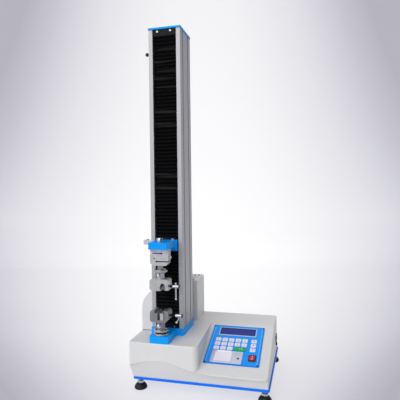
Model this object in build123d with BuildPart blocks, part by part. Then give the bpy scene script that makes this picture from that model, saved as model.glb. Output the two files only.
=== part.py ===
import math
import os

from build123d import *

os.makedirs("parts", exist_ok=True)

# Bench-top peel adhesion tester: a levelled base with a sloping control console, one upright
# column with a driven crosshead, an S-shaped load cell and a pair of small vice grips.
# Millimetres, +Z up, front towards -Y, origin on the bench under the middle of the whole outline.

# Overall
total_height = 1200.0

# Base plate and its levelling feet
plate_x = 1.5
plate_y = 16.6
plate_width = 444.0
plate_depth = 372.0
plate_thick = 8.0
plate_corner = 8.0
plate_bottom = 40.0
foot_inset_x = 17.0
foot_inset_y = 26.0
foot_pad_diameter = 42.0
foot_pad_height = 19.0
foot_neck_diameter = 24.0
foot_stud_diameter = 12.0
foot_hex_flats = 19.0
foot_hex_height = 8.0
foot_stud_reach = 36.0
thread_clearance = 0.1

# Housing: a thin-walled cast shell standing on the plate
housing_left = 7.0
housing_right_inset = 4.5
housing_front = 18.0
housing_top = 168.0
housing_wall = 4.0
housing_corner = 12.0
housing_edge_round = 3.0
skirt_setback = 2.0
wave_low = 82.0
wave_left = 92.0
wave_crest = 114.0
wave_start_slope = 0.3

# Console slope, cut into the right part of the housing
console_left = 1.5
console_taper = 12.0
console_corner = 17.0
slope_angle = 17.9
slope_nose_height = 86.9

# Control panel on the slope
panel_left = 8.5
panel_width = 180.0
panel_length = 200.0
panel_thick = 2.5
panel_corner = 4.0
panel_up_slope = 48.5
panel_border = 9.0
seat_gap = 0.15

# Display
lcd_width = 121.0
lcd_height = 34.0
lcd_x = 90.0
lcd_s = 166.0
lcd_frame = 5.0
lcd_frame_rise = 2.0
lcd_lens_thick = 3.0
lcd_lens_setback = 1.0

# Keys
key_width = 18.0
key_height = 16.0
key_pitch_x = 22.7
key_pitch_s = 22.2
key_first_x = 30.0
key_last_x = 151.6
key_top_s = 119.9
key_proud = 2.2
key_round = 2.0
key_skirt = 3.0
key_clearance = 0.15

# Strip printer
printer_width = 102.0
printer_height = 56.0
printer_x = 72.5
printer_s = 31.7
printer_rise = 4.0
printer_depth = 30.0
door_width = 54.0
door_height = 44.0
door_offset = -12.0
door_thick = 2.5
door_pin = 3.0
door_clearance = 0.2
paper_slot = 4.5
printer_button_diameter = 7.0
printer_button_offset = 38.0
printer_button_drop = 5.8
printer_button_proud = 1.5
printer_button_travel = 1.0

# Rocker switch
rocker_x = 154.5
rocker_s = 36.5
rocker_frame_width = 25.0
rocker_frame_height = 31.0
rocker_frame_rise = 2.0
rocker_width = 17.0
rocker_height = 24.0
rocker_depth = 18.0
rocker_tilt = 9.0
rocker_clearance = 0.3
rocker_pin_diameter = 3.0
rocker_pin_reach = 1.2

# Mains inlet and fuse holder on the right wall
inlet_y = 146.6
inlet_z = 100.0
inlet_width = 32.0
inlet_height = 25.0
inlet_flange = 3.0
inlet_body_depth = 22.0
inlet_recess_depth = 14.0
fuse_z = 78.0
fuse_diameter = 13.0
fuse_flange = 5.0
fuse_body_diameter = 10.0
fuse_body_depth = 24.0

# Column extrusion
axis_x = -123.5
column_width = 110.0
column_depth = 122.0
column_front = -94.4
channel_width = 83.0
channel_back_wall = 16.0
slot_mouth = 8.0
slot_lip = 3.0
slot_room_width = 14.0
slot_room_depth = 6.0
slot_front_y = 31.0
slot_pitch = 60.0
bore_diameter = 7.0
cap_thick = 6.0
cap_overhang = 2.0

# Plinth under the column, with a tongue that carries the lower grip
plinth_thick = 23.0
plinth_margin = 2.0
tongue_width = 65.0
tongue_front = -185.4
tongue_back = -98.4
tongue_round = 4.0
web_round = 10.0

# Lead screw
screw_y = -43.4
screw_diameter = 16.0
journal_diameter = 12.0
journal_length = 12.0
boss_diameter = 30.0
boss_length = 14.0
running = 0.1
end_float = 0.2

# Crosshead
crosshead_bottom = 468.0
crosshead_thick = 22.0
crosshead_heel = 15.0
heel_round = 12.0
carriage_height = 78.0
carriage_back = -7.4
carriage_front = -79.4
crosshead_neck_width = 75.0
cell_bolt_diameter = 12.0
cell_bolt_head = 18.0
cell_bolt_head_height = 13.0
cell_bolt_engage = 9.0
top_screw_diameter = 6.0
top_screw_head = 10.0
top_screw_head_height = 6.0
top_screw_spread = 52.0
top_screw_y = -109.4
top_screw_length = 14.0

# Bellows that close the column's channel above and below the crosshead
bellows_width = 79.0
bellows_depth = 9.0
bellows_sheet = 1.2
bellows_front = -93.4
bellows_pitch = 12.2
bellows_gap = 0.3
upper_clamp_height = 22.0
lower_clamp_height = 14.0
clamp_thick = 9.0

# Load axis and S-shaped load cell
load_y = -159.4
cell_width = 62.0
cell_height = 53.0
cell_depth = 25.0
cell_slot = 3.8
cell_arm = 11.5
cell_web_end = 8.5
cell_corner = 9.0
gland_diameter = 9.0
gland_length = 6.0
gland_z_up = 26.0

# Upper adapter, lock rings and grip sockets
adapter_neck = 17.0
adapter_neck_length = 14.0
spigot_diameter = 14.0
spigot_length = 19.0
spigot_in_plinth = 14.0
upper_ring_diameter = 46.0
upper_ring_thick = 8.0
lower_ring_diameter = 49.0
lower_ring_thick = 16.0
lower_ring_rim = 5.0
lower_ring_waist = 5.5
ring_bevel = 1.5
ring_rim_width = 5.0
ring_dish = 2.0
ring_hole = 4.0
ring_holes = 4
socket_diameter = 26.0
socket_length = 20.5
pin_diameter = 8.0
upper_pin_ball = 12.0
lower_pin_ball = 15.0
pin_stand_off = 0.3
pin_tail = 2.0
upper_pin_depth = 8.0
lower_pin_depth = 11.5
spigot_clearance = 0.05

# Grip bodies
grip_width = 62.0
grip_depth = 40.0
grip_height = 37.0
grip_chamfer = 5.0
jaw_depth = 52.0
jaw_clearance = 0.3
upper_crown = 12.5
upper_leg_width = 11.5
upper_leg_short = 2.5
upper_fixed_jaw = 5.0
upper_jaw_thick = 4.5
upper_jaw_height = 12.0
upper_jaw_gap = 9.0
upper_screw_drop = 24.5
lower_socket_length = 28.0
lower_grip_height = 37.0
lower_web = 7.0
lower_leg_width = 14.5
lower_leg_chamfer = 10.0
lower_jaw_thick = 11.0
lower_jaw_height = 22.0
lower_fixed_jaw = 11.0
lower_jaw_gap = 9.3
lower_screw_rise = 19.5

# Clamp screws and sliding tommy bars
clamp_diameter = 8.0
hub_diameter = 11.0
hub_length = 24.0
upper_hub_gap = 9.5
lower_hub_gap = 17.8
clamp_tip_diameter = 5.0
clamp_tip_length = 2.5
bar_diameter = 4.5
bar_ball = 7.0
bar_length = 50.0
bar_clearance = 0.05
bar_stop_gap = 0.3
lower_bar_forward = 38.5
upper_bar_in_hub = 10.5
lower_bar_in_hub = 15.2
lower_bar_angle = 14.0

# Travel stop on the left side of the column
stop_drop = 77.0
stop_ball = 13.0
stop_stud = 5.0
stop_nut_height = 16.0
stop_washer = 12.0
stop_washer_thick = 2.0
stop_stand_off = 8.5

# Striker arm
striker_thick = 3.0
striker_height = 15.0
striker_up = 5.0
striker_reach = 23.0
striker_front_y = -107.0
striker_tail = 47.5
striker_flange = 26.0

# Rear cover
cover_top = 317.0
cover_right = -64.5
cover_front = 80.6
cover_wing_front = -65.4
cover_wing_gap = 8.0
cover_shoulder = 75.0
cover_back_round = 22.0
cover_wall = 2.5
vent_count = 6
vent_pitch = 9.0
vent_length = 34.0
vent_width = 3.0

# Derived places
plate_top = plate_bottom + plate_thick
plate_left = plate_x - plate_width / 2
plate_right = plate_x + plate_width / 2
plate_front = plate_y - plate_depth / 2
plate_back = plate_y + plate_depth / 2
shell_left = plate_left - housing_left
shell_right = plate_right - housing_right_inset
shell_front = plate_front - housing_front
shell_back = plate_back
shell_width = shell_right - shell_left
shell_depth = shell_back - shell_front
shell_x = (shell_left + shell_right) / 2
shell_y = (shell_front + shell_back) / 2
wave_rise = wave_crest - wave_low
wave_drop = wave_crest - wave_left
slope_rise = math.tan(math.radians(slope_angle))
slope_end = shell_front + (housing_top - slope_nose_height) / slope_rise

column_left = axis_x - column_width / 2
column_back = column_front + column_depth
column_y = column_front + column_depth / 2
plinth_top = housing_top + plinth_thick
column_top = total_height - cap_thick
stop_z = total_height - stop_drop
slot_y = (column_front + slot_front_y, column_front + slot_front_y + slot_pitch)
channel_back = column_back - channel_back_wall
crosshead_top = crosshead_bottom + crosshead_thick
cell_bottom = crosshead_bottom - cell_height
adapter_bottom = cell_bottom - adapter_neck_length
upper_ring_bottom = adapter_bottom - upper_ring_thick
upper_body_top = upper_ring_bottom - socket_length
upper_screw_z = upper_body_top - upper_screw_drop
upper_body_bottom = upper_body_top - grip_height
lower_ring_top = plinth_top + lower_ring_thick
lower_body_bottom = lower_ring_top + lower_socket_length
lower_body_top = lower_body_bottom + lower_grip_height
lower_screw_z = lower_body_bottom + lower_screw_rise
grip_left = axis_x - grip_width / 2
grip_right = axis_x + grip_width / 2

# Base plate with clearance holes for the four foot studs
foot_x = plate_width - 2 * foot_inset_x
foot_y = plate_depth - 2 * foot_inset_y
with BuildPart() as base_plate:
    with BuildSketch(Plane.XY.offset(plate_bottom)):
        with Locations((plate_x, plate_y)):
            RectangleRounded(plate_width, plate_depth, plate_corner)
            with GridLocations(foot_x, foot_y, 2, 2):
                Circle(foot_stud_diameter / 2 + thread_clearance, mode=Mode.SUBTRACT)
    extrude(amount=plate_thick)
base_plate.part.label = "base_plate"
export_step(base_plate.part, "parts/base_plate.step")

# Levelling feet: a domed rubber pad on a stud with a hexagon for the spanner
foot_places = {
    "foot_front_left": (plate_x - foot_x / 2, plate_y - foot_y / 2),
    "foot_front_right": (plate_x + foot_x / 2, plate_y - foot_y / 2),
    "foot_back_left": (plate_x - foot_x / 2, plate_y + foot_y / 2),
    "foot_back_right": (plate_x + foot_x / 2, plate_y + foot_y / 2),
}
for foot_name, (fx, fy) in foot_places.items():
    with BuildPart() as foot_pad:
        with BuildSketch(Plane.XZ.offset(-fy)):
            with BuildLine():
                rim = Polyline((fx, 0), (fx + foot_pad_diameter / 2, 0), (fx + foot_pad_diameter / 2, 5))
                dome = ThreePointArc(
                    rim @ 1,
                    (fx + foot_pad_diameter * 0.43, foot_pad_height * 0.62),
                    (fx + foot_neck_diameter / 2, foot_pad_height),
                )
                Polyline(dome @ 1, (fx, foot_pad_height), (fx, 0))
            make_face()
        revolve(axis=Axis((fx, fy, 0), (0, 0, 1)))
    with BuildPart() as foot_stud:
        with BuildSketch(Plane.XY.offset(foot_pad_height)):
            with Locations((fx, fy)):
                RegularPolygon(foot_hex_flats / 2, 6, major_radius=False)
        extrude(amount=foot_hex_height)
        with BuildSketch(Plane.XY.offset(foot_pad_height + foot_hex_height)):
            with Locations((fx, fy)):
                Circle(foot_stud_diameter / 2)
        extrude(amount=foot_stud_reach)
    foot = Compound(label=foot_name, children=[foot_pad.part, foot_stud.part])
    export_step(foot, f"parts/{foot_name}.step")


def console_recess(grow):
    """Space above the sloping console; grow pushes its walls into the metal."""
    nose = slope_nose_height - grow / math.cos(math.radians(slope_angle))
    with BuildPart() as space:
        with BuildSketch(Plane.YZ.offset(shell_left)):
            with BuildLine():
                Polyline(
                    (shell_front - 60, nose - 60 * slope_rise),
                    (slope_end + grow, housing_top + (slope_end + grow - slope_end) * slope_rise - grow),
                    (slope_end + grow, housing_top + 40),
                    (shell_front - 60, housing_top + 40),
                    close=True,
                )
            make_face()
        extrude(amount=2 * shell_width)
        with BuildSketch(Plane.XY.offset(plate_bottom)):
            with BuildLine():
                bend = ThreePointArc(
                    (console_left - console_corner - grow, shell_front + grow),
                    (
                        console_left - grow - console_corner * (1 - math.sqrt(0.5)),
                        shell_front + grow + console_corner * (1 - math.sqrt(0.5)),
                    ),
                    (console_left - grow, shell_front + grow + console_corner),
                )
                Polyline(
                    bend @ 1,
                    (console_left - grow - console_taper, slope_end + 60),
                    (shell_right + 60, slope_end + 60),
                    (shell_right + 60, shell_front - 60),
                    (console_left - console_corner - grow, shell_front - 60),
                    bend @ 0,
                )
            make_face()
        extrude(amount=2 * housing_top, mode=Mode.INTERSECT)
    return space.part


def front_undercut(grow):
    """Wedge under the wavy crease of the front face."""
    with BuildPart() as wedge:
        with BuildSketch(Plane.YZ.offset(shell_left - 60)):
            with BuildLine():
                Polyline(
                    (shell_front - 60, plate_bottom - 20),
                    (plate_front + skirt_setback + grow, plate_bottom - 20),
                    (plate_front + skirt_setback + grow, plate_top),
                    (shell_front + grow, wave_crest),
                    (shell_front - 60, wave_crest),
                    close=True,
                )
            make_face()
        extrude(amount=2 * shell_width)
        with BuildSketch(Plane.XZ.offset(-shell_back)):
            with BuildLine():
                crease = Spline(
                    (shell_left - 1, wave_left),
                    (shell_left + 0.10 * shell_width, wave_left + 0.6 * wave_drop),
                    (shell_left + 0.22 * shell_width, wave_crest),
                    (shell_left + 0.31 * shell_width, wave_crest - 0.07 * wave_rise),
                    (shell_left + 0.39 * shell_width, wave_crest - 0.46 * wave_rise),
                    (shell_left + 0.55 * shell_width, wave_low + 0.1 * wave_rise),
                    (shell_left + 0.74 * shell_width, wave_low),
                    tangents=((1, wave_start_slope), (1, 0)),
                )
                Polyline(
                    crease @ 1,
                    (shell_right + 1, wave_low),
                    (shell_right + 1, plate_bottom - 20),
                    (shell_left - 1, plate_bottom - 20),
                    crease @ 0,
                )
            make_face()
        extrude(amount=2 * shell_depth, mode=Mode.INTERSECT)
    return wedge.part


def left_undercut(grow):
    """Wedge that draws the left skirt in to the base plate."""
    with BuildPart() as wedge:
        with BuildSketch(Plane.XZ.offset(-shell_back - 10)):
            with BuildLine():
                Polyline(
                    (shell_left - 60, plate_bottom - 20),
                    (plate_left + skirt_setback + grow, plate_bottom - 20),
                    (plate_left + skirt_setback + grow, plate_top),
                    (shell_left + grow, wave_left),
                    (shell_left - 60, wave_left),
                    close=True,
                )
            make_face()
        extrude(amount=2 * shell_depth)
    return wedge.part


# Slope frame: origin at the panel's lower left corner, x to the right, y up the slope
slope_cos = math.cos(math.radians(slope_angle))
slope_sin = math.sin(math.radians(slope_angle))
panel_plane = Plane(
    origin=(
        panel_left,
        shell_front + panel_up_slope * slope_cos,
        slope_nose_height + panel_up_slope * slope_sin,
    ),
    x_dir=(1, 0, 0),
    z_dir=(0, -slope_sin, slope_cos),
)

# Hollow of the housing, the outer form set in by the wall
with BuildPart() as housing_hollow:
    with BuildSketch(Plane.XY.offset(plate_top - 1)):
        with Locations((shell_x, shell_y)):
            RectangleRounded(
                shell_width - 2 * housing_wall,
                shell_depth - 2 * housing_wall,
                housing_corner - housing_wall,
            )
    extrude(amount=housing_top - housing_wall - plate_top + 1)
    add(console_recess(housing_wall), mode=Mode.SUBTRACT)
    add(front_undercut(housing_wall), mode=Mode.SUBTRACT)
    add(left_undercut(housing_wall), mode=Mode.SUBTRACT)

# Housing shell
with BuildPart() as base_housing:
    with BuildSketch(Plane.XY.offset(plate_top)):
        with Locations((shell_x, shell_y)):
            RectangleRounded(shell_width, shell_depth, housing_corner)
    extrude(amount=housing_top - plate_top)
    fillet(base_housing.faces().sort_by(Axis.Z)[-1].edges(), housing_edge_round)
    add(console_recess(0), mode=Mode.SUBTRACT)
    add(front_undercut(0), mode=Mode.SUBTRACT)
    add(left_undercut(0), mode=Mode.SUBTRACT)
    add(housing_hollow.part, mode=Mode.SUBTRACT)
    with BuildSketch(panel_plane.offset(-3 * housing_wall)):
        with Locations((panel_width / 2, panel_length / 2)):
            RectangleRounded(
                panel_width - 2 * panel_border, panel_length - 2 * panel_border, panel_corner
            )
    extrude(amount=6 * housing_wall, mode=Mode.SUBTRACT)
    with BuildSketch(Plane.YZ.offset(shell_right - 2 * housing_wall)):
        with Locations((inlet_y, inlet_z)):
            Rectangle(inlet_width - 8, inlet_height - 6)
        with Locations((inlet_y, fuse_z)):
            Circle(fuse_body_diameter / 2 + seat_gap)
    extrude(amount=4 * housing_wall, mode=Mode.SUBTRACT)
base_housing.part.label = "base_housing"
export_step(base_housing.part, "parts/base_housing.step")

# Panel plate with its openings
key_columns = [key_first_x + i * key_pitch_x for i in range(5)]
key_rows = [key_top_s - i * key_pitch_s for i in range(3)]
key_places = {}
for r in range(3):
    for c in range(5):
        if r == 2 and c >= 3:
            continue
        key_places[f"key_{r + 1}{c + 1}"] = (key_columns[c], key_rows[r], key_width)
    key_places[f"key_{r + 1}6"] = (key_last_x, key_rows[r], key_width)
key_places["key_wide"] = ((key_columns[3] + key_columns[4]) / 2, key_rows[2], key_width + key_pitch_x)
printer_body_width = printer_width - 8
printer_body_height = printer_height - 14
rocker_body_width = rocker_frame_width - 4
rocker_body_height = rocker_frame_height - 4
with BuildPart() as control_panel:
    with BuildSketch(panel_plane):
        with Locations((panel_width / 2, panel_length / 2)):
            RectangleRounded(panel_width, panel_length, panel_corner)
        with Locations((lcd_x, lcd_s)):
            Rectangle(lcd_width + 2 * seat_gap, lcd_height + 2 * seat_gap, mode=Mode.SUBTRACT)
        for kx, ks, kw in key_places.values():
            with Locations((kx, ks)):
                RectangleRounded(
                    kw + 2 * key_clearance,
                    key_height + 2 * key_clearance,
                    key_round + key_clearance,
                    mode=Mode.SUBTRACT,
                )
        with Locations((printer_x, printer_s)):
            Rectangle(
                printer_body_width + 2 * seat_gap, printer_body_height + 2 * seat_gap, mode=Mode.SUBTRACT
            )
        with Locations((rocker_x, rocker_s)):
            Rectangle(
                rocker_body_width + 2 * seat_gap, rocker_body_height + 2 * seat_gap, mode=Mode.SUBTRACT
            )
    extrude(amount=panel_thick)
control_panel.part.label = "control_panel"
export_step(control_panel.part, "parts/control_panel.step")

# Display frame and its window
with BuildPart() as lcd_bezel:
    with BuildSketch(panel_plane.offset(panel_thick)):
        with Locations((lcd_x, lcd_s)):
            RectangleRounded(lcd_width + 2 * lcd_frame, lcd_height + 2 * lcd_frame, lcd_frame / 2)
            Rectangle(lcd_width + 2 * seat_gap, lcd_height + 2 * seat_gap, mode=Mode.SUBTRACT)
    extrude(amount=lcd_frame_rise)
    chamfer(lcd_bezel.faces().sort_by(Axis.Z)[-1].outer_wire().edges(), lcd_frame_rise / 3)
lcd_bezel.part.label = "lcd_bezel"
export_step(lcd_bezel.part, "parts/lcd_bezel.step")

with BuildPart() as lcd_window:
    with BuildSketch(panel_plane.offset(panel_thick + lcd_frame_rise - lcd_lens_setback)):
        with Locations((lcd_x, lcd_s)):
            Rectangle(lcd_width, lcd_height)
    extrude(amount=-lcd_lens_thick)
lcd_window.part.label = "lcd_window"
export_step(lcd_window.part, "parts/lcd_window.step")

# Keys: a rounded cap in its opening, held under the plate by a wider skirt
for key_name, (kx, ks, kw) in key_places.items():
    with BuildPart() as key:
        with BuildSketch(panel_plane.offset(-key_skirt / 2)):
            with Locations((kx, ks)):
                RectangleRounded(kw, key_height, key_round)
        extrude(amount=key_skirt / 2 + panel_thick + key_proud)
        fillet(key.faces().sort_by(Axis.Z)[-1].edges(), key_round / 4)
        with BuildSketch(panel_plane):
            with Locations((kx, ks)):
                Rectangle(kw + 2, key_height + 2)
        extrude(amount=-key_skirt)
    key.part.label = key_name
    export_step(key.part, f"parts/{key_name}.step")

# Strip printer: body with a raised surround, a bed for the lid and a button well
printer_top = panel_thick + printer_rise
door_floor = printer_top - door_thick - 2 * door_clearance
door_x = printer_x + door_offset
door_low = printer_s - door_height / 2
door_pivot = Plane(
    origin=panel_plane.from_local_coords(
        (door_x, door_low + door_thick / 2, door_floor + door_clearance + door_thick / 2)
    ),
    x_dir=(0, slope_cos, slope_sin),
    z_dir=(1, 0, 0),
)
pin_radius = door_pin / 4
with BuildPart() as printer_bezel:
    with BuildSketch(panel_plane.offset(panel_thick)):
        with Locations((printer_x, printer_s)):
            RectangleRounded(printer_width, printer_height, panel_corner)
    extrude(amount=printer_rise)
    fillet(printer_bezel.faces().sort_by(Axis.Z)[-1].edges(), printer_rise / 4)
    with BuildSketch(panel_plane.offset(panel_thick)):
        with Locations((printer_x, printer_s)):
            Rectangle(printer_body_width, printer_body_height)
    extrude(amount=-printer_depth)
    with BuildSketch(panel_plane.offset(door_floor)):
        with Locations((door_x, printer_s + door_clearance + paper_slot / 4)):
            Rectangle(door_width + 2 * door_clearance, door_height + 4 * door_clearance + paper_slot / 2)
    extrude(amount=2 * printer_rise, mode=Mode.SUBTRACT)
    with BuildSketch(panel_plane.offset(panel_thick - 1)):
        with Locations((printer_x + printer_button_offset, printer_s - printer_button_drop)):
            Circle(printer_button_diameter / 2 + key_clearance)
    extrude(amount=2 * printer_rise, mode=Mode.SUBTRACT)
    with BuildSketch(door_pivot):
        Circle(pin_radius + running)
    extrude(amount=door_width / 2 + door_pin, both=True, mode=Mode.SUBTRACT)
printer_bezel.part.label = "printer_bezel"
export_step(printer_bezel.part, "parts/printer_bezel.step")

# Printer lid on its hinge pin
with BuildPart() as printer_door:
    with BuildSketch(door_pivot):
        with Locations(((door_height - door_thick) / 2, 0)):
            Rectangle(door_height - door_thick, door_thick)
        Circle(door_thick / 2)
    extrude(amount=door_width / 2, both=True)
    with BuildSketch(door_pivot):
        Circle(pin_radius)
    extrude(amount=door_width / 2 + door_pin - end_float, both=True)
printer_door.part.label = "printer_door"
export_step(printer_door.part, "parts/printer_door.step")

# Paper feed button
with BuildPart() as printer_button:
    with BuildSketch(panel_plane.offset(printer_top + printer_button_proud)):
        with Locations((printer_x + printer_button_offset, printer_s - printer_button_drop)):
            Circle(printer_button_diameter / 2)
    extrude(amount=-(printer_rise + printer_button_proud - printer_button_travel / 2))
    fillet(printer_button.faces().sort_by(Axis.Z)[-1].edges(), 0.5)
printer_button.part.label = "printer_button"
export_step(printer_button.part, "parts/printer_button.step")

# Rocker switch: a frame with a well and a curved rocker on two pins
rocker_pivot_height = panel_thick + 0.5
rocker_origin = panel_plane.from_local_coords((rocker_x, rocker_s, rocker_pivot_height))
rocker_reach = rocker_height / 2
rocker_rest = math.radians(slope_angle - rocker_tilt)
rocker_plane = Plane(
    origin=rocker_origin,
    x_dir=(0, math.cos(rocker_rest), math.sin(rocker_rest)),
    z_dir=(1, 0, 0),
)
rocker_still = Plane(origin=rocker_origin, x_dir=(0, slope_cos, slope_sin), z_dir=(1, 0, 0))
with BuildPart() as rocker_frame:
    with BuildSketch(panel_plane.offset(panel_thick)):
        with Locations((rocker_x, rocker_s)):
            RectangleRounded(rocker_frame_width, rocker_frame_height, 2)
    extrude(amount=rocker_frame_rise)
    chamfer(rocker_frame.faces().sort_by(Axis.Z)[-1].edges(), rocker_frame_rise / 3)
    with BuildSketch(panel_plane.offset(panel_thick)):
        with Locations((rocker_x, rocker_s)):
            Rectangle(rocker_body_width, rocker_body_height)
    extrude(amount=-rocker_depth)
    with BuildSketch(panel_plane.offset(panel_thick + rocker_frame_rise)):
        with Locations((rocker_x, rocker_s)):
            Rectangle(rocker_width + 2 * rocker_clearance, rocker_height + 2 * rocker_clearance)
    extrude(amount=-(rocker_depth - rocker_frame_rise), mode=Mode.SUBTRACT)
    with BuildSketch(rocker_still):
        Circle(rocker_pin_diameter / 2 + running)
    extrude(
        amount=rocker_width / 2 + rocker_clearance + rocker_pin_reach, both=True, mode=Mode.SUBTRACT
    )
rocker_frame.part.label = "rocker_frame"
export_step(rocker_frame.part, "parts/rocker_frame.step")

with BuildPart() as power_rocker:
    with BuildSketch(rocker_plane):
        Circle(rocker_reach)
        with BuildLine():
            dip = ThreePointArc((rocker_reach, 3.6), (0, 2.4), (-rocker_reach, 3.6))
            Polyline(
                dip @ 1,
                (-rocker_reach, -rocker_reach * 0.6),
                (rocker_reach, -rocker_reach * 0.6),
                dip @ 0,
            )
        make_face(mode=Mode.INTERSECT)
    extrude(amount=rocker_width / 2, both=True)
    with BuildSketch(rocker_plane):
        Circle(rocker_pin_diameter / 2)
    extrude(amount=rocker_width / 2 + rocker_pin_reach, both=True)
power_rocker.part.label = "power_rocker"
export_step(power_rocker.part, "parts/power_rocker.step")

# Mains inlet with its recess and three blades
wall_plane = Plane.YZ.offset(shell_right)
with BuildPart() as power_inlet:
    with BuildSketch(wall_plane):
        with Locations((inlet_y, inlet_z)):
            RectangleRounded(inlet_width, inlet_height, 3)
    extrude(amount=inlet_flange)
    with BuildSketch(wall_plane):
        with Locations((inlet_y, inlet_z)):
            Rectangle(inlet_width - 8 - 2 * seat_gap, inlet_height - 6 - 2 * seat_gap)
    extrude(amount=-inlet_body_depth)
    with BuildSketch(wall_plane.offset(inlet_flange)):
        with Locations((inlet_y, inlet_z)):
            Rectangle(inlet_width - 12, inlet_height - 10)
    extrude(amount=-inlet_recess_depth, mode=Mode.SUBTRACT)
    with BuildSketch(wall_plane.offset(inlet_flange - inlet_recess_depth)):
        with Locations((inlet_y - 5, inlet_z), (inlet_y, inlet_z + 3), (inlet_y + 5, inlet_z)):
            Rectangle(1.5, 4)
    extrude(amount=inlet_recess_depth - 3)
power_inlet.part.label = "power_inlet"
export_step(power_inlet.part, "parts/power_inlet.step")

# Fuse holder
with BuildPart() as fuse_holder:
    with BuildSketch(wall_plane):
        with Locations((inlet_y, fuse_z)):
            Circle(fuse_diameter / 2)
    extrude(amount=fuse_flange)
    chamfer(fuse_holder.faces().sort_by(Axis.X)[-1].edges(), 1)
    with BuildSketch(wall_plane):
        with Locations((inlet_y, fuse_z)):
            Circle(fuse_body_diameter / 2)
    extrude(amount=-fuse_body_depth)
    with BuildSketch(wall_plane.offset(fuse_flange)):
        with Locations((inlet_y, fuse_z)):
            Rectangle(fuse_diameter * 0.6, 1.4)
    extrude(amount=-1.5, mode=Mode.SUBTRACT)
fuse_holder.part.label = "fuse_holder"
export_step(fuse_holder.part, "parts/fuse_holder.step")

# Plinth: a thick T-shaped plate, its tongue under the lower grip
with BuildPart() as plinth:
    with BuildSketch(Plane.XY.offset(housing_top)):
        with Locations((axis_x, (tongue_back + column_back + plinth_margin) / 2)):
            Rectangle(column_width + 2 * plinth_margin, column_back + plinth_margin - tongue_back)
        with Locations((axis_x, (tongue_front + column_y) / 2)):
            Rectangle(tongue_width, column_y - tongue_front)
    extrude(amount=plinth_thick)
    wide = column_width / 2 + plinth_margin
    outer = [e for e in plinth.edges().filter_by(Axis.Z) if abs(abs(e.center().X - axis_x) - wide) < 0.01]
    fillet(outer, plinth_margin)
    fillet(plinth.edges().filter_by(Axis.Z).group_by(Axis.Y)[0], tongue_round)
    webs = [
        e
        for e in plinth.edges().filter_by(Axis.Z)
        if abs(abs(e.center().X - axis_x) - tongue_width / 2) < 0.01 and e.center().Y > tongue_back - 1
    ]
    fillet(webs, web_round)
    with Locations((axis_x, screw_y, plinth_top)):
        Hole(journal_diameter / 2 + running, depth=journal_length + end_float)
    with Locations((axis_x, load_y, plinth_top)):
        Hole(spigot_diameter / 2 + spigot_clearance, depth=spigot_in_plinth + end_float)
plinth.part.label = "plinth"
export_step(plinth.part, "parts/plinth.step")

# Column extrusion: open channel at the front, two T-slots along each side, screw bores
with BuildPart() as column:
    with BuildSketch(Plane.XY.offset(plinth_top)):
        with Locations((axis_x, column_y)):
            Rectangle(column_width, column_depth)
        with Locations((axis_x, (column_front + channel_back) / 2 - 1)):
            Rectangle(channel_width, channel_back - column_front + 2, mode=Mode.SUBTRACT)
        for side in (-1, 1):
            for sy in slot_y:
                with Locations((axis_x + side * (column_width - slot_lip) / 2, sy)):
                    Rectangle(slot_lip + 0.01, slot_mouth, mode=Mode.SUBTRACT)
                with Locations(
                    (axis_x + side * (column_width / 2 - slot_lip - slot_room_depth / 2), sy)
                ):
                    Rectangle(slot_room_depth, slot_room_width, mode=Mode.SUBTRACT)
            bore_x = axis_x + side * (column_width + channel_width) / 4
            with Locations((bore_x, column_front + bore_diameter * 1.5), (bore_x, column_back - 10)):
                Circle(bore_diameter / 2, mode=Mode.SUBTRACT)
    extrude(amount=column_top - plinth_top)
column.part.label = "column"
export_step(column.part, "parts/column.step")

# Cap plate with the upper bearing boss of the lead screw
with BuildPart() as column_cap:
    with BuildSketch(Plane.XY.offset(column_top)):
        with Locations((axis_x, column_y)):
            RectangleRounded(column_width + 2 * cap_overhang, column_depth + 2 * cap_overhang, 3)
    extrude(amount=cap_thick)
    with BuildSketch(Plane.XY.offset(column_top)):
        with Locations((axis_x, screw_y)):
            Circle(boss_diameter / 2)
            Circle(journal_diameter / 2 + running, mode=Mode.SUBTRACT)
    extrude(amount=-boss_length)
column_cap.part.label = "column_cap"
export_step(column_cap.part, "parts/column_cap.step")

# Lead screw on two journals
with BuildPart() as lead_screw:
    with BuildSketch(Plane.XZ.offset(-screw_y)):
        with BuildLine():
            Polyline(
                (axis_x, plinth_top - journal_length),
                (axis_x + journal_diameter / 2, plinth_top - journal_length),
                (axis_x + journal_diameter / 2, plinth_top + end_float),
                (axis_x + screw_diameter / 2, plinth_top + end_float),
                (axis_x + screw_diameter / 2, column_top - boss_length - end_float),
                (axis_x + journal_diameter / 2, column_top - boss_length - end_float),
                (axis_x + journal_diameter / 2, column_top - end_float),
                (axis_x, column_top - end_float),
                close=True,
            )
        make_face()
    revolve(axis=Axis((axis_x, screw_y, 0), (0, 0, 1)))
lead_screw.part.label = "lead_screw"
export_step(lead_screw.part, "parts/lead_screw.step")

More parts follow.
